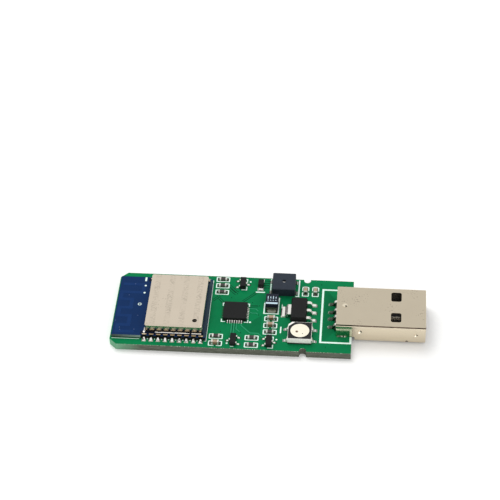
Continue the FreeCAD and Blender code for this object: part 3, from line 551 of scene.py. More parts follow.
def printed_face(name, white, black, node):
    """White moulded plastic whose upper face is printed black, up to a thin white rim and a white
    corner that marks the first lead. Its lowest part is painted near black, a painted shadow at its foot."""
    material, tree, shader, place = start_finish(name, 0.45, Specular_IOR_Level=0.3)
    low, high = (in_mm(corner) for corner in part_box(node))
    spot = add_node(tree, "ShaderNodeSeparateXYZ", links={0: place})
    inside = add_node(tree, "ShaderNodeMath", {"operation": "GREATER_THAN", 1: high.z - 0.02},
                      {0: spot.outputs["Z"]})
    rim, corner = 0.05, 3.6
    from_middle = [add_node(tree, "ShaderNodeMath", {"operation": "SUBTRACT", 1: (high[axis] + low[axis]) / 2},
                            {0: spot.outputs[axis]}).outputs[0] for axis in (0, 1)]
    to_corner = add_node(tree, "ShaderNodeMath", {"operation": "SUBTRACT"}, {0: from_middle[1], 1: from_middle[0]})
    limits = [(to_corner.outputs[0], corner)]
    for axis in (0, 1):
        away = add_node(tree, "ShaderNodeMath", {"operation": "ABSOLUTE"}, {0: from_middle[axis]})
        limits.append((away.outputs[0], (high[axis] - low[axis]) / 2 - rim))
    for distance, limit in limits:
        near = add_node(tree, "ShaderNodeMath", {"operation": "LESS_THAN", 1: limit}, {0: distance})
        inside = add_node(tree, "ShaderNodeMath", {"operation": "MULTIPLY"},
                          {0: inside.outputs[0], 1: near.outputs[0]})
    pale = two_colours(tree, blotches(tree, place, 1.0, 0.0, 0.4), white, shade_of(white, 0.88))
    # Painted shadow: the housing's lowest 0.3 to 0.42 mm is blended to near black.
    foot = add_node(tree, "ShaderNodeMapRange", {"From Min": low.z + 0.42, "From Max": low.z + 0.3},
                    {"Value": spot.outputs["Z"]})
    pale = two_colours(tree, foot.outputs[0], pale, linear("26302A"))
    tree.links.new(two_colours(tree, inside.outputs[0], pale, black), shader.inputs["Base Color"])
    emboss(tree, shader, blotches(tree, place, 0.15), 0.006)
    return material


def cream_filling(name):
    """Cream diffusing silicone poured into the light's well. The white well shows through it a
    little, and so do the driver chip, brown, and a dark bond beside it."""
    material, tree, shader, place = start_finish(name, 0.12, Alpha=0.92, IOR=1.41)
    tint = two_colours(tree, blotches(tree, place, 0.9, 0.0, 0.5), linear("FFFBE8"), linear("FCF5DC"))
    x, y, _ = middle("light_filling")
    top = in_mm(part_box("light_filling")[1]).z
    for dx, dy, radius, colour in ((-0.64, -0.32, 0.36, "6B4630"), (0.6, -0.85, 0.14, "3C4A3A")):
        tint = spot_on(tree, place, (LEFT + x + dx, y + dy, top), radius, tint, linear(colour))
    tree.links.new(tint, shader.inputs["Base Color"])
    emboss(tree, shader, blotches(tree, place, 1.2), 0.01)
    return material


def chip_top_and_sides(name, upper, lower, node):
    """A fired ceramic chip with its upper face in one colour and its sides in another: on the resistors the upper face
    is a darker glaze, and on the capacitors the sides are painted darker than the upper face, a painted shade.
    """
    material, tree, shader, place = start_finish(name, 0.4, Specular_IOR_Level=0.4)
    spot = add_node(tree, "ShaderNodeSeparateXYZ", links={0: place})
    high = add_node(tree, "ShaderNodeMath", {"operation": "GREATER_THAN", 1: in_mm(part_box(node)[1]).z - 0.03},
                    {0: spot.outputs["Z"]})
    # On the capacitors the darker sides are painted shade.
    upper_face = two_colours(tree, blotches(tree, place, 0.25, 0.0, 0.8), upper, shade_of(upper, 2.2))
    body = two_colours(tree, blotches(tree, place, 0.2, 0.0, 0.5), lower, shade_of(lower, 0.7))
    tree.links.new(two_colours(tree, high.outputs[0], body, upper_face), shader.inputs["Base Color"])
    emboss(tree, shader, blotches(tree, place, 0.12), 0.006)
    return material


def part_plated(name, gold, tin, split):
    """Contacts with gold on the mating side and tin on the tails, which meet at one place along X.
    The lower part of the tails is painted dark, a painted shade under the shell's rear edge."""
    material, tree, shader, place = start_finish(name, 0.22, 1.0)
    spot = add_node(tree, "ShaderNodeSeparateXYZ", links={0: place})
    front = add_node(tree, "ShaderNodeMapRange", {"From Min": split - 0.2, "From Max": split + 0.2},
                     {"Value": spot.outputs["X"]})
    # Painted shade on the tails below 0.7 mm above the board.
    bright = add_node(tree, "ShaderNodeMapRange", {"From Min": TOP + 0.7, "From Max": TOP + 0.85},
                      {"Value": spot.outputs["Z"]})
    tail = two_colours(tree, bright.outputs[0], linear("4C5349"), tin)
    tree.links.new(two_colours(tree, front.outputs[0], tail, gold), shader.inputs["Base Color"])
    emboss(tree, shader, blotches(tree, place, 0.2, stretch=(8, 1, 1)), 0.004)
    return material


def wound_wire(name, colour):
    """Enamelled copper wire, wound in level turns 0.06 mm apart, with painted shade in the grooves between the turns.
    """
    material, tree, shader, place = start_finish(name, 0.3, 0.8)
    spot = add_node(tree, "ShaderNodeSeparateXYZ", links={0: place})
    turns = add_node(tree, "ShaderNodeMath", {"operation": "PINGPONG", 1: 0.03}, {0: spot.outputs["Z"]})
    round_wire = add_node(tree, "ShaderNodeMath", {"operation": "DIVIDE", 1: 0.03}, {0: turns.outputs[0]})
    # Painted shade: the colour darkens to half towards each groove.
    tree.links.new(two_colours(tree, round_wire.outputs[0], shade_of(colour, 0.5), colour),
                   shader.inputs["Base Color"])
    emboss(tree, shader, round_wire.outputs[0], 0.02)
    return material


# Pieces and their operators

CHIPS = [(f"resistor_{number}", True) for number in range(1, 8)]
CHIPS += [(f"capacitor_{number}", False) for number in range(1, 6)]
TRANSISTORS = (("transistor_1_body", 1), ("transistor_2_body", -1), ("transistor_3_body", 1))
CHIP_PRINT = (2.95, 1.5)
CHIP_PRINT_GAP = 0.5


class DETECTOR_OT_finishes(bpy.types.Operator):
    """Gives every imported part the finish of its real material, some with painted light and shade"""

    bl_idname = "detector.finishes"
    bl_label = "Part finishes"

    def execute(self, context):
        mask = context.scene.detector_mask
        metal = context.scene.detector_metal
        copper = context.scene.detector_copper
        # 84C69E is the painted light on the green board's left end edge.
        green = masked_laminate("green_mask_on_laminate", tuple(mask.over_copper), tuple(mask.over_laminate),
                                tuple(mask.edge), tuple(mask.edge_shade), linear("84C69E"), linear("E4EEDC"),
                                0.16, 0.0, board_high.x, board_high.z)
        # Painted shade: the blue board's cut edges are painted near black for the shade of the gap under the module,
        # except for a pale band along their top near the left end.
        dark = linear("1C2420")
        blue = masked_laminate("blue_mask_on_laminate", tuple(mask.module), shade_of(mask.module, 0.7),
                               dark, shade_of(dark, 0.6), dark, linear("9AAEA6"), 0.72, 0.85, module_low.x + 6.2,
                               module_high.z)
        dress(green, "main_board")
        dress(blue, "module_board")
        # The plug's walls are painted lighter (1.25) and the can's darker (0.9): painted light and shade.
        dress(plated_sheet("nickel_plated_steel", tuple(metal.plug), 0.14, (14, 1, 1), seam_with_painted_shade_and_highlights, 1.25), "usb_shell")
        dress(plated_sheet("satin_nickel_silver", tuple(metal.can), 0.16, (1, 14, 1), laser_marks, 0.9), "shield_can")
        tin = bright_metal("tinned_copper_alloy", tuple(copper.tin), 0.26, shade=0.86)
        solder = bright_metal("tin_solder", tuple(copper.solder), 0.16, size=0.3, shade=0.4, depth=0.02)
        low_solder = bright_metal("tin_solder_darker_at_foot", tuple(copper.solder), 0.38, shade=0.6, depth=0.02,
                                  foot=TOP + 0.07)
        pitted = bright_metal("pitted_tin_solder", tuple(copper.solder), 0.14, size=0.42, shade=0.06, depth=0.03,
                              sharp=0.07, centre=0.57)
        leads = [name for name in frame["nodes"] if name.endswith(("_leads", "_terminals"))]
        dress(tin, "regulator_tab", *leads)
        dress(low_solder, "lead_solder_joints")
        dress(self.shaded_terminals(tuple(copper.tin)), "serial_chip_terminals")
        dress(pitted, "module_solder_joints")
        # Dark grey solder on the chips and buzzer terminals: a painted dark reflection.
        dull = bright_metal("tin_solder_painted_dark_reflection", linear("5A5A52"), 0.28, size=0.25, shade=0.2, depth=0.02)
        dress(dull, "chip_solder_joints", "buzzer_terminals")
        dress(bright_metal("tinned_chip_end", tuple(copper.tin), 0.3, size=1.5, shade=0.12, depth=0.01),
              "resistor_ends", "capacitor_ends")
        # The capacitor's terminals in a darker grey than the tin elsewhere.
        dress(bright_metal("dark_grey_capacitor_tin", linear("6C6C60"), 0.36, shade=0.4), "tantalum_terminals")
        dress(bright_metal("bright_diode_tin", linear("FFFEFA"), 0.2, shade=0.8), "diode_leads")
        # Solder at the plug's legs: pale, with sharp dark pits over about half of it.
        dress(bright_metal("darkly_pitted_solder", linear("A0AC9A"), 0.35, size=0.35, shade=0.05, depth=0.03,
                           sharp=0.08, centre=0.46),
              "usb_leg_solder")
        dress(self.tails_with_painted_shade(), "tail_solder_joints")
        chip_resin = moulded_resin("moulded_black_epoxy", linear("0D0E0E"), level=0.2)
        bodies = [name for name in frame["nodes"] if name.startswith("transistor") and name.endswith("_body")]
        dress(chip_resin, "serial_chip", "radio_chip", "memory_chip", "regulator_body", "diode_body", *bodies)
        dress(moulded_resin("moulded_buzzer_plastic", linear("232A34"), 0.5, 0.14, 0.2), "buzzer_case", "buzzer_base")
        dress(moulded_resin("moulded_navy_epoxy", linear("0D1322"), 0.45, level=0.2), "tantalum_body")
        dress(moulded_resin("moulded_black_nylon", linear("141415"), 0.5, 0.2), "usb_insulator")
        dress(printed_face("white_plastic_black_face", linear("FAF9F2"), linear("0E0F10"), "light_housing"),
              "light_housing")
        dress(cream_filling("cream_silicone"), "light_filling")
        dress(moulded_resin("light_chip_surface", linear("2E190B"), 0.3, 0.05), "light_chips")
        dress(chip_top_and_sides("glazed_alumina", linear("2A2625"), linear("4A4540"), "resistor_1"),
              *[name for name, is_resistor in CHIPS if is_resistor])
        dress(chip_top_and_sides("fired_titanate", linear("8C7864"), linear("7C6650"), "capacitor_1"),
              *[name for name, is_resistor in CHIPS if not is_resistor])
        split = in_mm(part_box("usb_shell")[0]).x + 1.0
        dress(part_plated("gold_and_tin_plate", linear("F2EAD8"), tuple(copper.tin), split),
              *[f"usb_contact_{number}" for number in range(1, 5)])
        dress(wound_wire("enamelled_copper_wire", linear("B4622E")), "buzzer_coil")
        dress(moulded_resin("sintered_ferrite", linear("2B2A2C"), 0.6, 0.12), "buzzer_magnet")
        dress(bright_metal("soft_iron", linear("8C8C8A"), 0.35), "buzzer_yoke")
        dress(self.sheet_with_painted_light(), "buzzer_diaphragm")
        dress(bright_metal("nickel_plated_lid", linear("C9C6BE"), 0.3), "crystal")
        return {"FINISHED"}


    def sheet_with_painted_light(self):
        """The buzzer's diaphragm: painted white where the sound hole shows it, a painted reflection, and painted black
        behind that, a painted shade under the case.
        """
        material, tree, shader, place = start_finish("iron_sheet_painted_reflection_and_shade", 0.4)
        spot = add_node(tree, "ShaderNodeSeparateXYZ", links={0: place})
        # Painted shade from 0.3 mm behind the case's middle; painted reflection in front of that.
        back = add_node(tree, "ShaderNodeMath", {"operation": "GREATER_THAN", 1: middle("buzzer_case")[1] + 0.3},
                        {0: spot.outputs["Y"]})
        white = two_colours(tree, blotches(tree, place, 0.5), linear("FFFFFC"), linear("F4F4F0"))
        tree.links.new(two_colours(tree, back.outputs[0], white, linear("0A0A0A")), shader.inputs["Base Color"])
        emboss(tree, shader, blotches(tree, place, 0.3), 0.002)
        return material

    def tails_with_painted_shade(self):
        """Solder round the contacts' tails: pale at its outer tip, painted black nearer the plug, a painted shade
        under the shell.
        """
        material, tree, shader, place = start_finish("tail_solder_with_painted_shade", 0.35, 1.0)
        spot = add_node(tree, "ShaderNodeSeparateXYZ", links={0: place})
        edge = in_mm(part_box("tail_solder_joints")[0]).x
        # Painted shade: black from 0.4 to 0.6 mm past the joints' outer edge on towards the plug.
        inner = add_node(tree, "ShaderNodeMapRange", {"From Min": edge + 0.4, "From Max": edge + 0.6},
                         {"Value": spot.outputs["X"]})
        pale = two_colours(tree, blotches(tree, place, 0.3, sharp=0.1), linear("B9C6B6"), linear("4C5A4E"))
        tree.links.new(two_colours(tree, inner.outputs[0], pale, linear("10160F")), shader.inputs["Base Color"])
        emboss(tree, shader, blotches(tree, place, 0.4), 0.02)
        return material

    def shaded_terminals(self, tin):
        """Tinned terminals, painted dark along the chip's left side as painted shade."""
        material, tree, shader, place = start_finish("tinned_chip_terminals", 0.5, 1.0)
        x, _, size = middle("serial_chip")
        spot = add_node(tree, "ShaderNodeSeparateXYZ", links={0: place})
        edge = LEFT + x - size.x / 2
        # Painted shade on the terminals along the chip's left side.
        undarkened = add_node(tree, "ShaderNodeMapRange", {"From Min": edge + 0.4, "From Max": edge + 0.6},
                         {"Value": spot.outputs["X"]})
        metal = two_colours(tree, blotches(tree, place, 0.2, 0.0, 0.5), tin, shade_of(tin, 0.7))
        tree.links.new(two_colours(tree, undarkened.outputs[0], linear("4A5148"), metal), shader.inputs["Base Color"])
        emboss(tree, shader, blotches(tree, place, 0.2), 0.006)
        return material


class DETECTOR_OT_lands(bpy.types.Operator):
    """Tins the lands that the parts are soldered to"""

    bl_idname = "detector.lands"
    bl_label = "Tinned lands"

    def execute(self, context):
        copper = context.scene.detector_copper
        high = copper.land_thickness / MM
        base = TOP - SINK
        piece = open_piece("small_part_lands")
        for name, _ in CHIPS:
            x, y, size = middle(name)
            upright = size.y > size.x
            for end in (-1, 1):
                along = end * 0.88
                spot = (x, y + along) if upright else (x + along, y)
                shape = (0.8, 0.5) if upright else (0.5, 0.8)
                draw_plate(*spot, base, *shape, corner=0.08)
        for name, side in TRANSISTORS:
            x, y, _ = middle(name)
            for dx, dy in ((side, 0), (-side, 0.95), (-side, -0.95)):
                draw_plate(x + dx * 1.3, y + dy, base, 0.7, 0.45, corner=0.06)
        x, y, _ = middle("buzzer_base")
        for end in (-1, 1):
            for side in (-1, 1):
                draw_plate(x + end * 2.5, y + side * 1.6, base, 0.7, 0.8, corner=0.08)
        x, y, _ = middle("serial_chip")
        for row in range(7):
            draw_plate(x - 2.62, y + (row - 3) * 0.5, base, 0.4, 0.2, corner=0.06)
        x, y, _ = middle("tantalum_body")
        for end in (-1, 1):
            draw_plate(x, y + end * 1.55, base, 2.45, 1.5, corner=0.08)
        # Dark olive tin on the small parts' lands: a painted dark reflection.
        close_piece(piece, bright_metal("tinned_land_painted_dark_reflection", linear("45463C"), 0.3, shade=0.3), high)

        piece = open_piece("serial_chip_lands")
        x, y, size = middle("serial_chip")
        for row in range(7):
            offset = (row - 3) * 0.5
            draw_plate(x + 2.66, y + offset, base, 0.46, 0.22, corner=0.06)
            for end in (-1, 1):
                draw_plate(x + offset, y + end * 2.82, base, 0.25, 0.85, corner=0.06)
        close_piece(piece, bright_metal("satin_tinned_land", tuple(copper.tin), 0.5, shade=0.85), high)

        piece = open_piece("large_part_lands")
        x, y, _ = middle("diode_body")
        for end in (-1, 1):
            draw_plate(x, y + end * 1.32, base, 1.3, 1.0, corner=0.08)
        x, y, _ = middle("light_housing")
        for end in (-1, 1):
            for side in (-1, 1):
                draw_plate(x + end * 2.95, y + side * 1.65, base, 1.2, 0.7, corner=0.08)
        x, y, _ = middle("regulator_body")
        for row in (-1, 0, 1):
            draw_plate(x + 3.25, y + row * 2.3, base, 1.2, 0.8, corner=0.08)
        draw_plate(x - 3.15, y, base, 1.3, 3.05, corner=0.08)
        for number in range(1, 5):
            _, y, _ = middle(f"usb_contact_{number}")
            draw_plate(46.4, y, base, 1.0, 0.8, corner=0.3)
        for x, side in half_holes():
            draw_plate(x, side * 9.25, base, 0.95, 1.4, corner=0.08)
        close_piece(piece, bright_metal("tinned_land", tuple(copper.tin), 0.24), high)

        piece = open_piece("plug_leg_lands")
        leg_x, leg_y, size = leg_place()
        for side in (-1, 1):
            draw_frame(leg_x, side * leg_y, board_low.z - 0.01, size.x + 1.1, 1.6, 0.4, 0.6)
        close_piece(piece, bpy.data.materials["tinned_land"], high)
        return {"FINISHED"}


def leg_place():
    """Middle of the plug's legs along X, how far they are from the centre line, and their size."""
    low, high = (in_mm(corner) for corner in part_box("usb_leg_solder"))
    shell_low, shell_high = (in_mm(corner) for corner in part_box("usb_shell"))
    return (low.x + high.x) / 2 - LEFT, shell_high.y - 0.15, Vector((high.x - low.x, 0, 0))


def half_holes():
    """From-left places of the module's half holes, with the side that each is on."""
    for side in (-1, 1):
        for index in range(9):
            yield module_low.x - LEFT + 6.95 + index * 1.5, side


# Traces drawn a paler green than the others: a painted sheen where they catch the light.
LIT_TRACES = (
    ((25.45, -3.3), (25.45, -7.6)),
    ((25.95, -3.3), (25.95, -7.6)),
    ((26.47, -3.3), (26.47, -5.1), (27.44, -6.06)),
    ((27.47, -3.3), (27.47, -4.0), (29.5, -6.15), (31.2, -6.15), (32.3, -7.3)),
    ((28.8, 1.3), (30.3, 1.2), (30.8, 0.6)),
    ((28.8, 0.3), (29.5, -0.1), (30.45, -0.05), (30.9, -0.5)),
)
DARK_TRACES = (
    ((24.0, 8.3), (25.6, 6.4), (26.1, 6.1)),
    ((24.1, 7.1), (25.7, 5.5)),
    ((27.3, 3.4), (28.6, 4.75), (30.1, 6.4)),
    ((20.8, 3.3), (22.2, 4.9)),
    ((22.1, 4.1), (23.3, 2.6)),
    ((28.8, 1.9), (30.9, 2.15)),
)
GAPS = tuple(((31.3, y), (33.0, y)) for y in (10.1, 9.4, 8.65, 7.9))
VIAS = ((24.73, 4.42), (29.41, 3.11), (25.9, 5.75), (27.5, -6.15), (23.22, -6.02), (30.95, 2.2), (30.95, -0.6),
        (37.6, -2.6), (36.6, -7.9), (37.9, 4.9), (44.0, 9.6), (48.9, 9.4), (45.6, -9.4), (49.9, 1.9))
# Areas of darker mask: the first lies where no copper is under the mask; the second, inside the plug's outline round
# the contact tails, is painted shade from the plug.
BARE_AND_SHADED_AREAS = (
    ((27.75, -4.0), (29.5, -5.95), (31.7, -5.95), (31.7, -0.6), (29.8, -2.4), (28.2, -3.3)),
    ((44.9, 7.5), (44.9, -7.3), (45.5, -7.3), (47.1, -4.9), (47.1, 5.2), (45.6, 7.5)),
)


class DETECTOR_OT_traces(bpy.types.Operator):
    """Draws the traces and vias that show through the green mask"""

    bl_idname = "detector.traces"
    bl_label = "Traces under the mask"

    def execute(self, context):
        copper = context.scene.detector_copper
        mask = context.scene.detector_mask
        width = copper.trace_width / MM
        gap = copper.clearance / MM
        low = flat_mask("mask_between_copper_and_painted_shade", linear("076F42"))
        deep = flat_mask("mask_beside_traces", linear("074029"))
        even = flat_mask("mask_over_traces", tuple(mask.over_copper))
        # Paler green over the lit traces: painted sheen.
        lit = flat_mask("mask_over_traces_painted_sheen", linear("2E9468"))
        # Darker mask areas, the one by the plug's tails being painted shade.
        piece = open_piece("bare_and_painted_shade_areas")
        for area in BARE_AND_SHADED_AREAS:
            draw_area(area, TOP - SINK)
        close_piece(piece, low, SINK + 0.003)
        piece = open_piece("chip_mask_opening")
        x, y, _ = middle("serial_chip")
        draw_plate(x, y, TOP - SINK, 3.6, 6.1)
        draw_plate(x + 1.4, y, TOP - SINK, 2.7, 3.5)
        close_piece(piece, flat_mask("bare_laminate", linear("12261C")), SINK + 0.008)
        for name, routes, over, beside in (("traces", DARK_TRACES, even, deep), ("bright_traces", LIT_TRACES, lit, low)):
            piece = open_piece(f"{name}_clearance")
            for route in routes:
                draw_line(route, width + 2 * gap, TOP - SINK)
            for route in GAPS if beside is deep else ():
                draw_line(route, gap * 1.2, TOP - SINK)
            close_piece(piece, beside, SINK + 0.005)
            piece = open_piece(name)
            for route in routes:
                draw_line(route, width, TOP - SINK)
            close_piece(piece, over, SINK + 0.015)
        piece = open_piece("vias")
        for x, y in VIAS:
            draw_dot(x, y, TOP - SINK, 0.32, 0.14)
        close_piece(piece, even, SINK + 0.02)
        # Painted shade: dark discs stand for the shade inside the via holes, which are not cut.
        piece = open_piece("via_holes")
        for x, y in VIAS:
            draw_dot(x, y, TOP - SINK, 0.15)
        close_piece(piece, flat_mask("painted_shade_in_via_holes", shade_of(mask.over_laminate, 0.4)),
                    SINK + 0.008)
        return {"FINISHED"}


class DETECTOR_OT_print(bpy.types.Operator):
    """Prints the white outlines and marks on the main board"""

    bl_idname = "detector.board_print"
    bl_label = "Print on the board"

    def execute(self, context):
        settings = context.scene.detector_print
        line = settings.line / MM
        corner = settings.corner / MM
        thickness = settings.thickness / MM + SINK
        z = TOP - SINK
        ink = printing_ink("white_printing_ink", tuple(settings.ink))
        length, width = CHIP_PRINT

        piece = open_piece("print_round_chips")
        for name, is_resistor in CHIPS:
            x, y, size = middle(name)
            upright = size.y > size.x
            if is_resistor:
                draw_frame(x, y, z, length, width, line, corner)
                continue
            for end in (-1, 1):
                half, side, gap = end * (length - line) / 2, (width - line) / 2, end * CHIP_PRINT_GAP / 2
                cut = 0.1
                route = [(gap, side), (half - end * cut, side), (half, side - cut), (half, cut - side),
                         (half - end * cut, -side), (gap, -side)]
                draw_line([(x + b, y + a) if upright else (x + a, y + b) for a, b in route], line, z)
        close_piece(piece, ink, thickness)

        piece = open_piece("print_round_parts")
        for name, turn in TRANSISTORS:
            x, y, _ = middle(name)
            if turn < 0:
                draw_line(((x - 0.45, y - 1.62), (x + 0.25, y - 1.62)), line, z)
                draw_dot(x - 1.24, y - 0.72, z, 0.22)
                continue
            for route in (((0.5, 1.72), (0.86, 1.72), (0.86, 0.6)), ((-0.25, -1.6), (0.86, -1.6), (0.86, -0.55))):
                draw_line([(x + a, y + b) for a, b in route], line, z)
            draw_dot(x + 1.55, y + 1.0, z, 0.22)
        x, y, _ = middle("diode_body")
        draw_plate(x, y - 2.28, z, 2.0, 0.32)
        x, y, _ = middle("serial_chip")
        for across in (-1, 1):
            for along in (-1, 1):
                route = ((across * 2.0, along * 2.82), (across * 2.82, along * 2.82), (across * 2.82, along * 2.0))
                draw_line([(x + a, y + b) for a, b in route], line, z)
        draw_dot(x + 3.32, y - 2.72, z, 0.24)
        x, y, _ = middle("tantalum_body")
        draw_line(((x - 1.6, y + 0.7), (x - 1.6, y - 2.6), (x + 1.45, y - 2.6), (x + 1.45, y + 2.4)), line * 1.2, z)
        x, y, _ = middle("buzzer_base")
        draw_line(((x - 2.87, y + 2.55), (x - 2.87, y - 1.15), (x - 2.5, y - 1.65), (x - 2.5, y - 2.5)), line, z)
        draw_line(((x + 3.28, y + 2.5), (x + 3.28, y - 2.6), (x + 2.6, y - 2.6)), line * 1.3, z)
        x, y, _ = middle("light_housing")
        draw_line(((x - 4.15, y + 2.45), (x - 4.15, y + 0.55)), line * 1.25, z)
        draw_line(((35.85, 2.9), (35.85, -0.6), (37.1, -0.62)), line * 0.7, z)
        close_piece(piece, ink, thickness)

        piece = open_piece("print_round_plug")
        edge = board_high.x - LEFT
        draw_line(((edge - 0.2, 8.03), (44.46, 8.03), (44.46, -8.03), (edge - 0.2, -8.03), (edge - 0.2, -6.1)),
                  settings.plug_line / MM, z)
        close_piece(piece, ink, thickness)

        piece = open_piece("print_round_module")
        end = module_high.x - LEFT
        draw_line(((end + 0.07, 9.6), (end + 0.07, -9.15), (end - 0.25, -9.15)), line * 0.6, z)
        for side in (-1, 1):
            for index in range(8):
                draw_dot(module_low.x - LEFT + 7.7 + index * 1.5, side * 9.16, z, 0.14, points=10)
        for side in (-1, 1):
            draw_line(((0.42, side * 9.28), (6.3, side * 9.28)), line * 0.6, z)
        close_piece(piece, ink, thickness)
        return {"FINISHED"}


AERIAL = ((1.05, 6.55), (5.6, 6.55), (5.6, 4.05), (1.0, 4.05), (1.0, 1.85), (3.5, 1.85), (3.5, -0.75), (1.1, -0.75),
          (1.1, -3.2), (3.6, -3.2), (3.6, -6.0), (1.3, -6.0), (1.3, -8.0), (5.0, -8.0))


SPECKS = ((3.62, 6.7), (2.67, 3.15), (5.28, -3.02), (1.82, -6.83), (1.97, -7.52), (0.73, -4.77), (4.99, -7.27))


class DETECTOR_OT_module(bpy.types.Operator):
    """Adds the module's aerial, print, gold half holes and the solder at the can's foot"""

    bl_idname = "detector.module"
    bl_label = "Radio module details"

    def execute(self, context):
        copper = context.scene.detector_copper
        mask = context.scene.detector_mask
        z = MODULE_TOP - SINK
        piece = open_piece("module_aerial")
        draw_line(AERIAL, 0.8, z)
        close_piece(piece, flat_mask("blue_mask_over_copper", tuple(mask.module_copper)),
                    SINK + 0.015)

        # Greyer blue right of the can: a painted reflection of the can's wall.
        piece = open_piece("module_strip_painted_can_reflection")
        right = in_mm(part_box("shield_can")[1]).x
        draw_plate((right + module_high.x) / 2 - LEFT, 0, z, module_high.x - right - 0.1, 17.4)
        close_piece(piece, flat_mask("blue_mask_painted_can_reflection", linear("34444F")),
                    SINK + 0.005)

        # Darker blue strips along both long edges, between the can and the half holes.
        piece = open_piece("module_edge_strips")
        for side in (-1, 1):
            draw_plate(13.1, side * (module_high.y - 0.85), z, 13.4, 1.1)
        close_piece(piece, flat_mask("darker_blue_mask_strips", linear("131D33")),
                    SINK + 0.005)

        piece = open_piece("module_print")
        draw_dot(5.9, 6.25, z, 0.24)
        draw_dot(5.91, 4.0, z, 0.24)
        draw_dot(5.28, 0.42, z, 0.4, 0.26)
        draw_plate(5.78, 8.25, z, 0.4, 1.2, corner=0.1)
        ink = bpy.data.materials["white_printing_ink"]
        close_piece(piece, ink, context.scene.detector_print.thickness / MM + SINK)

        piece = open_piece("module_mask_specks")
        for x, y in SPECKS:
            draw_dot(x, y, z, 0.09, points=6)
        close_piece(piece, flat_mask("specks_in_blue_mask", linear("66759C")), SINK + 0.02)

        self.half_hole_plating(tuple(copper.gold))
        self.can_foot_solder_and_painted_highlight()
        return {"FINISHED"}

    def half_hole_plating(self, gold):
        """An L-shaped section spun through half a turn lines one half hole; it is copied along
        the edge and turned round for the other edge."""
        hole, land, wall = 0.32, 0.44, 0.03
        low, high = module_low.z, module_high.z
        section = ((hole - wall, low), (hole + SINK, low), (hole + SINK, high - SINK), (land, high - SINK),
                   (land, high + wall), (hole - wall, high + wall))
        first, _ = next(half_holes())
        centre = (LEFT + first, module_low.y, 0)
        piece = open_piece("module_half_hole_plating")
        bpy.ops.mesh.primitive_circle_add(vertices=len(section), fill_type="NGON", location=(0, 0, 0))
        mesh, points = selected_points()
        for point, (reach, height) in zip(points, section):
            point.co = (centre[0] + reach, centre[1], height)
        bmesh.update_edit_mesh(piece.data)
        bpy.ops.mesh.spin(steps=6, angle=math.pi, center=centre, axis=(0, 0, 1))
        mesh = bmesh.from_edit_mesh(piece.data)
        if min(vertex.co.y for vertex in mesh.verts) < centre[1] - land / 2:
            bpy.ops.mesh.select_all(action="SELECT")
            bpy.ops.transform.rotate(value=math.pi, orient_axis="Z", center_override=centre)
        bpy.ops.mesh.select_all(action="SELECT")
        bpy.ops.mesh.normals_make_consistent(inside=False)
        for _ in range(8):
            bpy.ops.mesh.duplicate_move(TRANSFORM_OT_translate={"value": (1.5, 0, 0)})
        bpy.ops.mesh.select_all(action="SELECT")
        bpy.ops.mesh.duplicate_move()
        bpy.ops.transform.rotate(value=math.pi, orient_axis="Z", center_override=(centre[0] + 6.0, 0, 0))
        for x, side in half_holes():
            draw_plate(x, side * (module_high.y - hole - 0.14), high, 0.95, 0.28, corner=0.04)
            bpy.ops.mesh.extrude_region_move(TRANSFORM_OT_translate={"value": (0, 0, wall + 0.01)})
        close_piece(piece, self.gold_with_painted_hole_shade(gold))

    def gold_with_painted_hole_shade(self, gold):
        """Gold flashed over nickel and copper: pale, and painted dark inside the half holes, a painted shade."""
        material, tree, shader, place = start_finish("gold_plated_copper", 0.3, 1.0)
        spot = add_node(tree, "ShaderNodeSeparateXYZ", links={0: place})
        out = add_node(tree, "ShaderNodeMath", {"operation": "ABSOLUTE"}, {0: spot.outputs["Y"]})
        # Painted shade inside the half holes.
        hole_shade = add_node(tree, "ShaderNodeMapRange",
                           {"From Min": module_high.y - 0.31, "From Max": module_high.y - 0.27},
                           {"Value": out.outputs[0]})
        worn = two_colours(tree, blotches(tree, place, 0.3, 0.0, 0.6), gold, shade_of(gold, 0.8))
        tree.links.new(two_colours(tree, hole_shade.outputs[0], worn, linear("2A241C")), shader.inputs["Base Color"])
        emboss(tree, shader, blotches(tree, place, 0.3), 0.006)
        return material

    def can_foot_solder_and_painted_highlight(self):
        """Thin beads of solder along the can's foot, each a plate drawn up to a ridge, and a bright line by its
        front-left corner, partly a solder bead and partly a painted highlight.
        """
        can_x, _, size = middle("shield_can")
        half = size.y / 2
        piece = open_piece("can_foot_solder_and_painted_highlight")
        for side in (-1, 1):
            for start, end in ((-3.95, 3.4), (3.8, 5.9)):
                y = side * (half + 0.06)
                draw_plate(can_x + (start + end) / 2, y, MODULE_TOP - SINK, end - start, 0.18, corner=0.08)
                bpy.ops.mesh.extrude_region_move(TRANSFORM_OT_translate={"value": (0, -side * 0.03, 0.08)})
                bpy.ops.transform.resize(value=(0.97, 0.45, 1))
        # Partly a solder bead, partly a painted highlight: the bright line drawn on the module beside the can's
        # front-left corner stands for the white reflection on the corner's rounded edge; a dot of solder lies at its
        # foot.
        corner = can_x - size.x / 2
        draw_line(((corner - 0.08, 2.3 - half), (corner - 0.12, 0.1 - half)), 0.16, MODULE_TOP - SINK)
        bpy.ops.mesh.select_linked()
        bpy.ops.mesh.extrude_region_move(TRANSFORM_OT_translate={"value": (0, 0, 0.1)})
        draw_dot(corner - 0.14, -half, MODULE_TOP - SINK, 0.28, points=10)
        bpy.ops.mesh.extrude_region_move(TRANSFORM_OT_translate={"value": (0, 0, 0.16)})
        bpy.ops.transform.resize(value=(0.6, 0.6, 1))
        bpy.ops.mesh.select_all(action="SELECT")
        bpy.ops.mesh.normals_make_consistent(inside=False)
        close_piece(piece, bright_metal("bright_foot_solder_and_painted_highlight", linear("FFFEFA"), 0.22, shade=0.75))


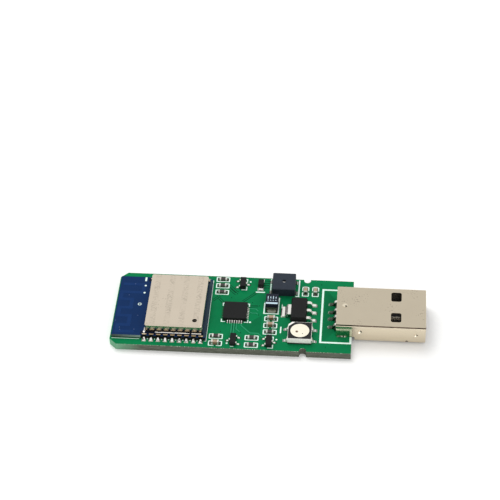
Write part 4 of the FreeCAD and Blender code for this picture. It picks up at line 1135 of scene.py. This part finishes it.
class DETECTOR_OT_tantalum_marks(bpy.types.Operator):
    """Prints the pale band and plain marks on the moulded capacitor"""

    bl_idname = "detector.tantalum_marks"
    bl_label = "Capacitor marks"

    def execute(self, context):
        x, y, size = middle("tantalum_body")
        top = in_mm(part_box("tantalum_body")[1]).z - SINK
        ink = printing_ink("pale_blue_ink", linear("C4DDE8"))
        piece = open_piece("tantalum_print")
        draw_plate(x, y - size.y / 2 + 0.42, top, size.x - 0.25, 0.5, corner=0.04)
        for index in range(4):
            across = x + (index - 1.5) * 0.56
            draw_plate(across, y + 0.45, top, 0.17, 0.55 if index % 2 else 0.85, corner=0.03)
            draw_plate(across, y - 0.4, top, 0.22, 0.18, corner=0.03)
        close_piece(piece, ink, SINK + 0.01)
        return {"FINISHED"}


class DETECTOR_OT_stage(bpy.types.Operator):
    """Sets the pale floor, the soft lamps, the sky and the camera"""

    bl_idname = "detector.stage"
    bl_label = "Stage"

    def execute(self, context):
        settings = context.scene.detector_stage
        bpy.ops.object.select_all(action="DESELECT")
        bpy.ops.mesh.primitive_plane_add(size=settings.floor_size, location=(0, 0, -0.00002))
        floor = bpy.context.object
        floor.name = "floor"
        material, tree, shader, place = start_finish("white_paper", 0.8, Specular_IOR_Level=0.1)
        shade = two_colours(tree, blotches(tree, place, 60.0, 0.0, 0.5), linear("FDFDFC"), linear("FAFAF9"))
        tree.links.new(shade, shader.inputs["Base Color"])
        lift = add_node(tree, "ShaderNodeMath", {"operation": "MULTIPLY", 1: settings.floor_lift},
                        {0: seen_directly(tree)})
        tree.links.new(shade, shader.inputs["Emission Color"])
        tree.links.new(lift.outputs[0], shader.inputs["Emission Strength"])
        floor.data.materials.append(material)
        key = self.lamp("key_lamp", settings.key_power, 0.6, (-0.25, 0.42, 0.68))
        key.visible_glossy = False  # metal mirrors the white sky alone, at the level its colour is written for
        self.lamp("fill_lamp", settings.fill_power, 0.5, (0.35, -0.5, 0.5))
        self.sky(context.scene, settings.sky_level)
        self.camera(context.scene)
        context.scene.view_settings.view_transform = "Standard"
        return {"FINISHED"}

    def lamp(self, name, power, size, place):
        bpy.ops.object.light_add(type="AREA", location=place)
        lamp = bpy.context.object
        lamp.name = name
        lamp.data.energy = power
        lamp.data.size = size
        lamp.rotation_euler = (-Vector(place)).to_track_quat("-Z", "Y").to_euler()
        return lamp

    def sky(self, scene, level):
        """White where the camera or a reflection looks at it, softer as light on matt surfaces."""
        world = bpy.data.worlds.new("soft_white_sky")
        world.use_nodes = True
        scene.world = world
        tree = world.node_tree
        tree.nodes.clear()
        strength = add_node(tree, "ShaderNodeMapRange", {"To Min": level, "To Max": 1.0},
                            {"Value": seen_directly(tree)})
        light = add_node(tree, "ShaderNodeBackground", {"Color": (1, 1, 1, 1)}, {"Strength": strength.outputs[0]})
        add_node(tree, "ShaderNodeOutputWorld", links={"Surface": light.outputs[0]})

    def camera(self, scene):
        """Stands at the photograph's viewing angle, fitted to the corners of the board and plug."""
        azimuth, elevation, roll = 0.0879068, 0.7344021, -0.0194978
        distance, focus, frame_width, focal_pixels = 0.386585, Vector((-0.005674, 0.019984, 0.0016)), 500, 1735.224
        back = Vector((math.sin(azimuth) * math.cos(elevation), -math.cos(azimuth) * math.cos(elevation),
                       math.sin(elevation)))
        level = Vector((math.cos(azimuth), math.sin(azimuth), 0))
        upright = back.cross(level)
        right = level * math.cos(roll) + upright * math.sin(roll)
        up = upright * math.cos(roll) - level * math.sin(roll)
        bpy.ops.object.camera_add()
        camera = bpy.context.object
        camera.name = "camera"
        turn = Matrix((right, up, back)).transposed().to_4x4()
        camera.matrix_world = Matrix.Translation(focus + back * distance) @ turn
        camera.data.sensor_width = 36.0
        camera.data.lens = focal_pixels / frame_width * camera.data.sensor_width
        camera.data.clip_start = 0.01
        camera.data.clip_end = 10.0
        scene.camera = camera


STEPS = ("finishes", "lands", "traces", "board_print", "module", "tantalum_marks", "stage")
SETTINGS = (("detector_mask", MaskSettings), ("detector_print", PrintSettings),
            ("detector_copper", CopperSettings), ("detector_metal", MetalSettings),
            ("detector_stage", StageSettings))


class VIEW3D_PT_detector(bpy.types.Panel):
    """Lists the steps that dress the stick, and the sizes and colours that they use"""

    bl_label = "Attack detector stick"
    bl_space_type = "VIEW_3D"
    bl_region_type = "UI"
    bl_category = "Detector"

    def draw(self, context):
        column = self.layout.column()
        for step in STEPS:
            column.operator(f"detector.{step}")
        for name, group in SETTINGS:
            box = self.layout.box()
            for key in group.__annotations__:
                box.prop(getattr(context.scene, name), key)


CLASSES = [group for _, group in SETTINGS] + [
    DETECTOR_OT_finishes, DETECTOR_OT_lands, DETECTOR_OT_traces, DETECTOR_OT_print, DETECTOR_OT_module,
    DETECTOR_OT_tantalum_marks, DETECTOR_OT_stage, VIEW3D_PT_detector]


def register():
    for item in CLASSES:
        bpy.utils.register_class(item)
    for name, group in SETTINGS:
        setattr(bpy.types.Scene, name, PointerProperty(type=group))


def unregister():
    for name, _ in SETTINGS:
        delattr(bpy.types.Scene, name)
    for item in reversed(CLASSES):
        bpy.utils.unregister_class(item)


def main():
    register()
    for step in STEPS:
        getattr(bpy.ops.detector, step)()


if __name__ == "__main__":
    main()
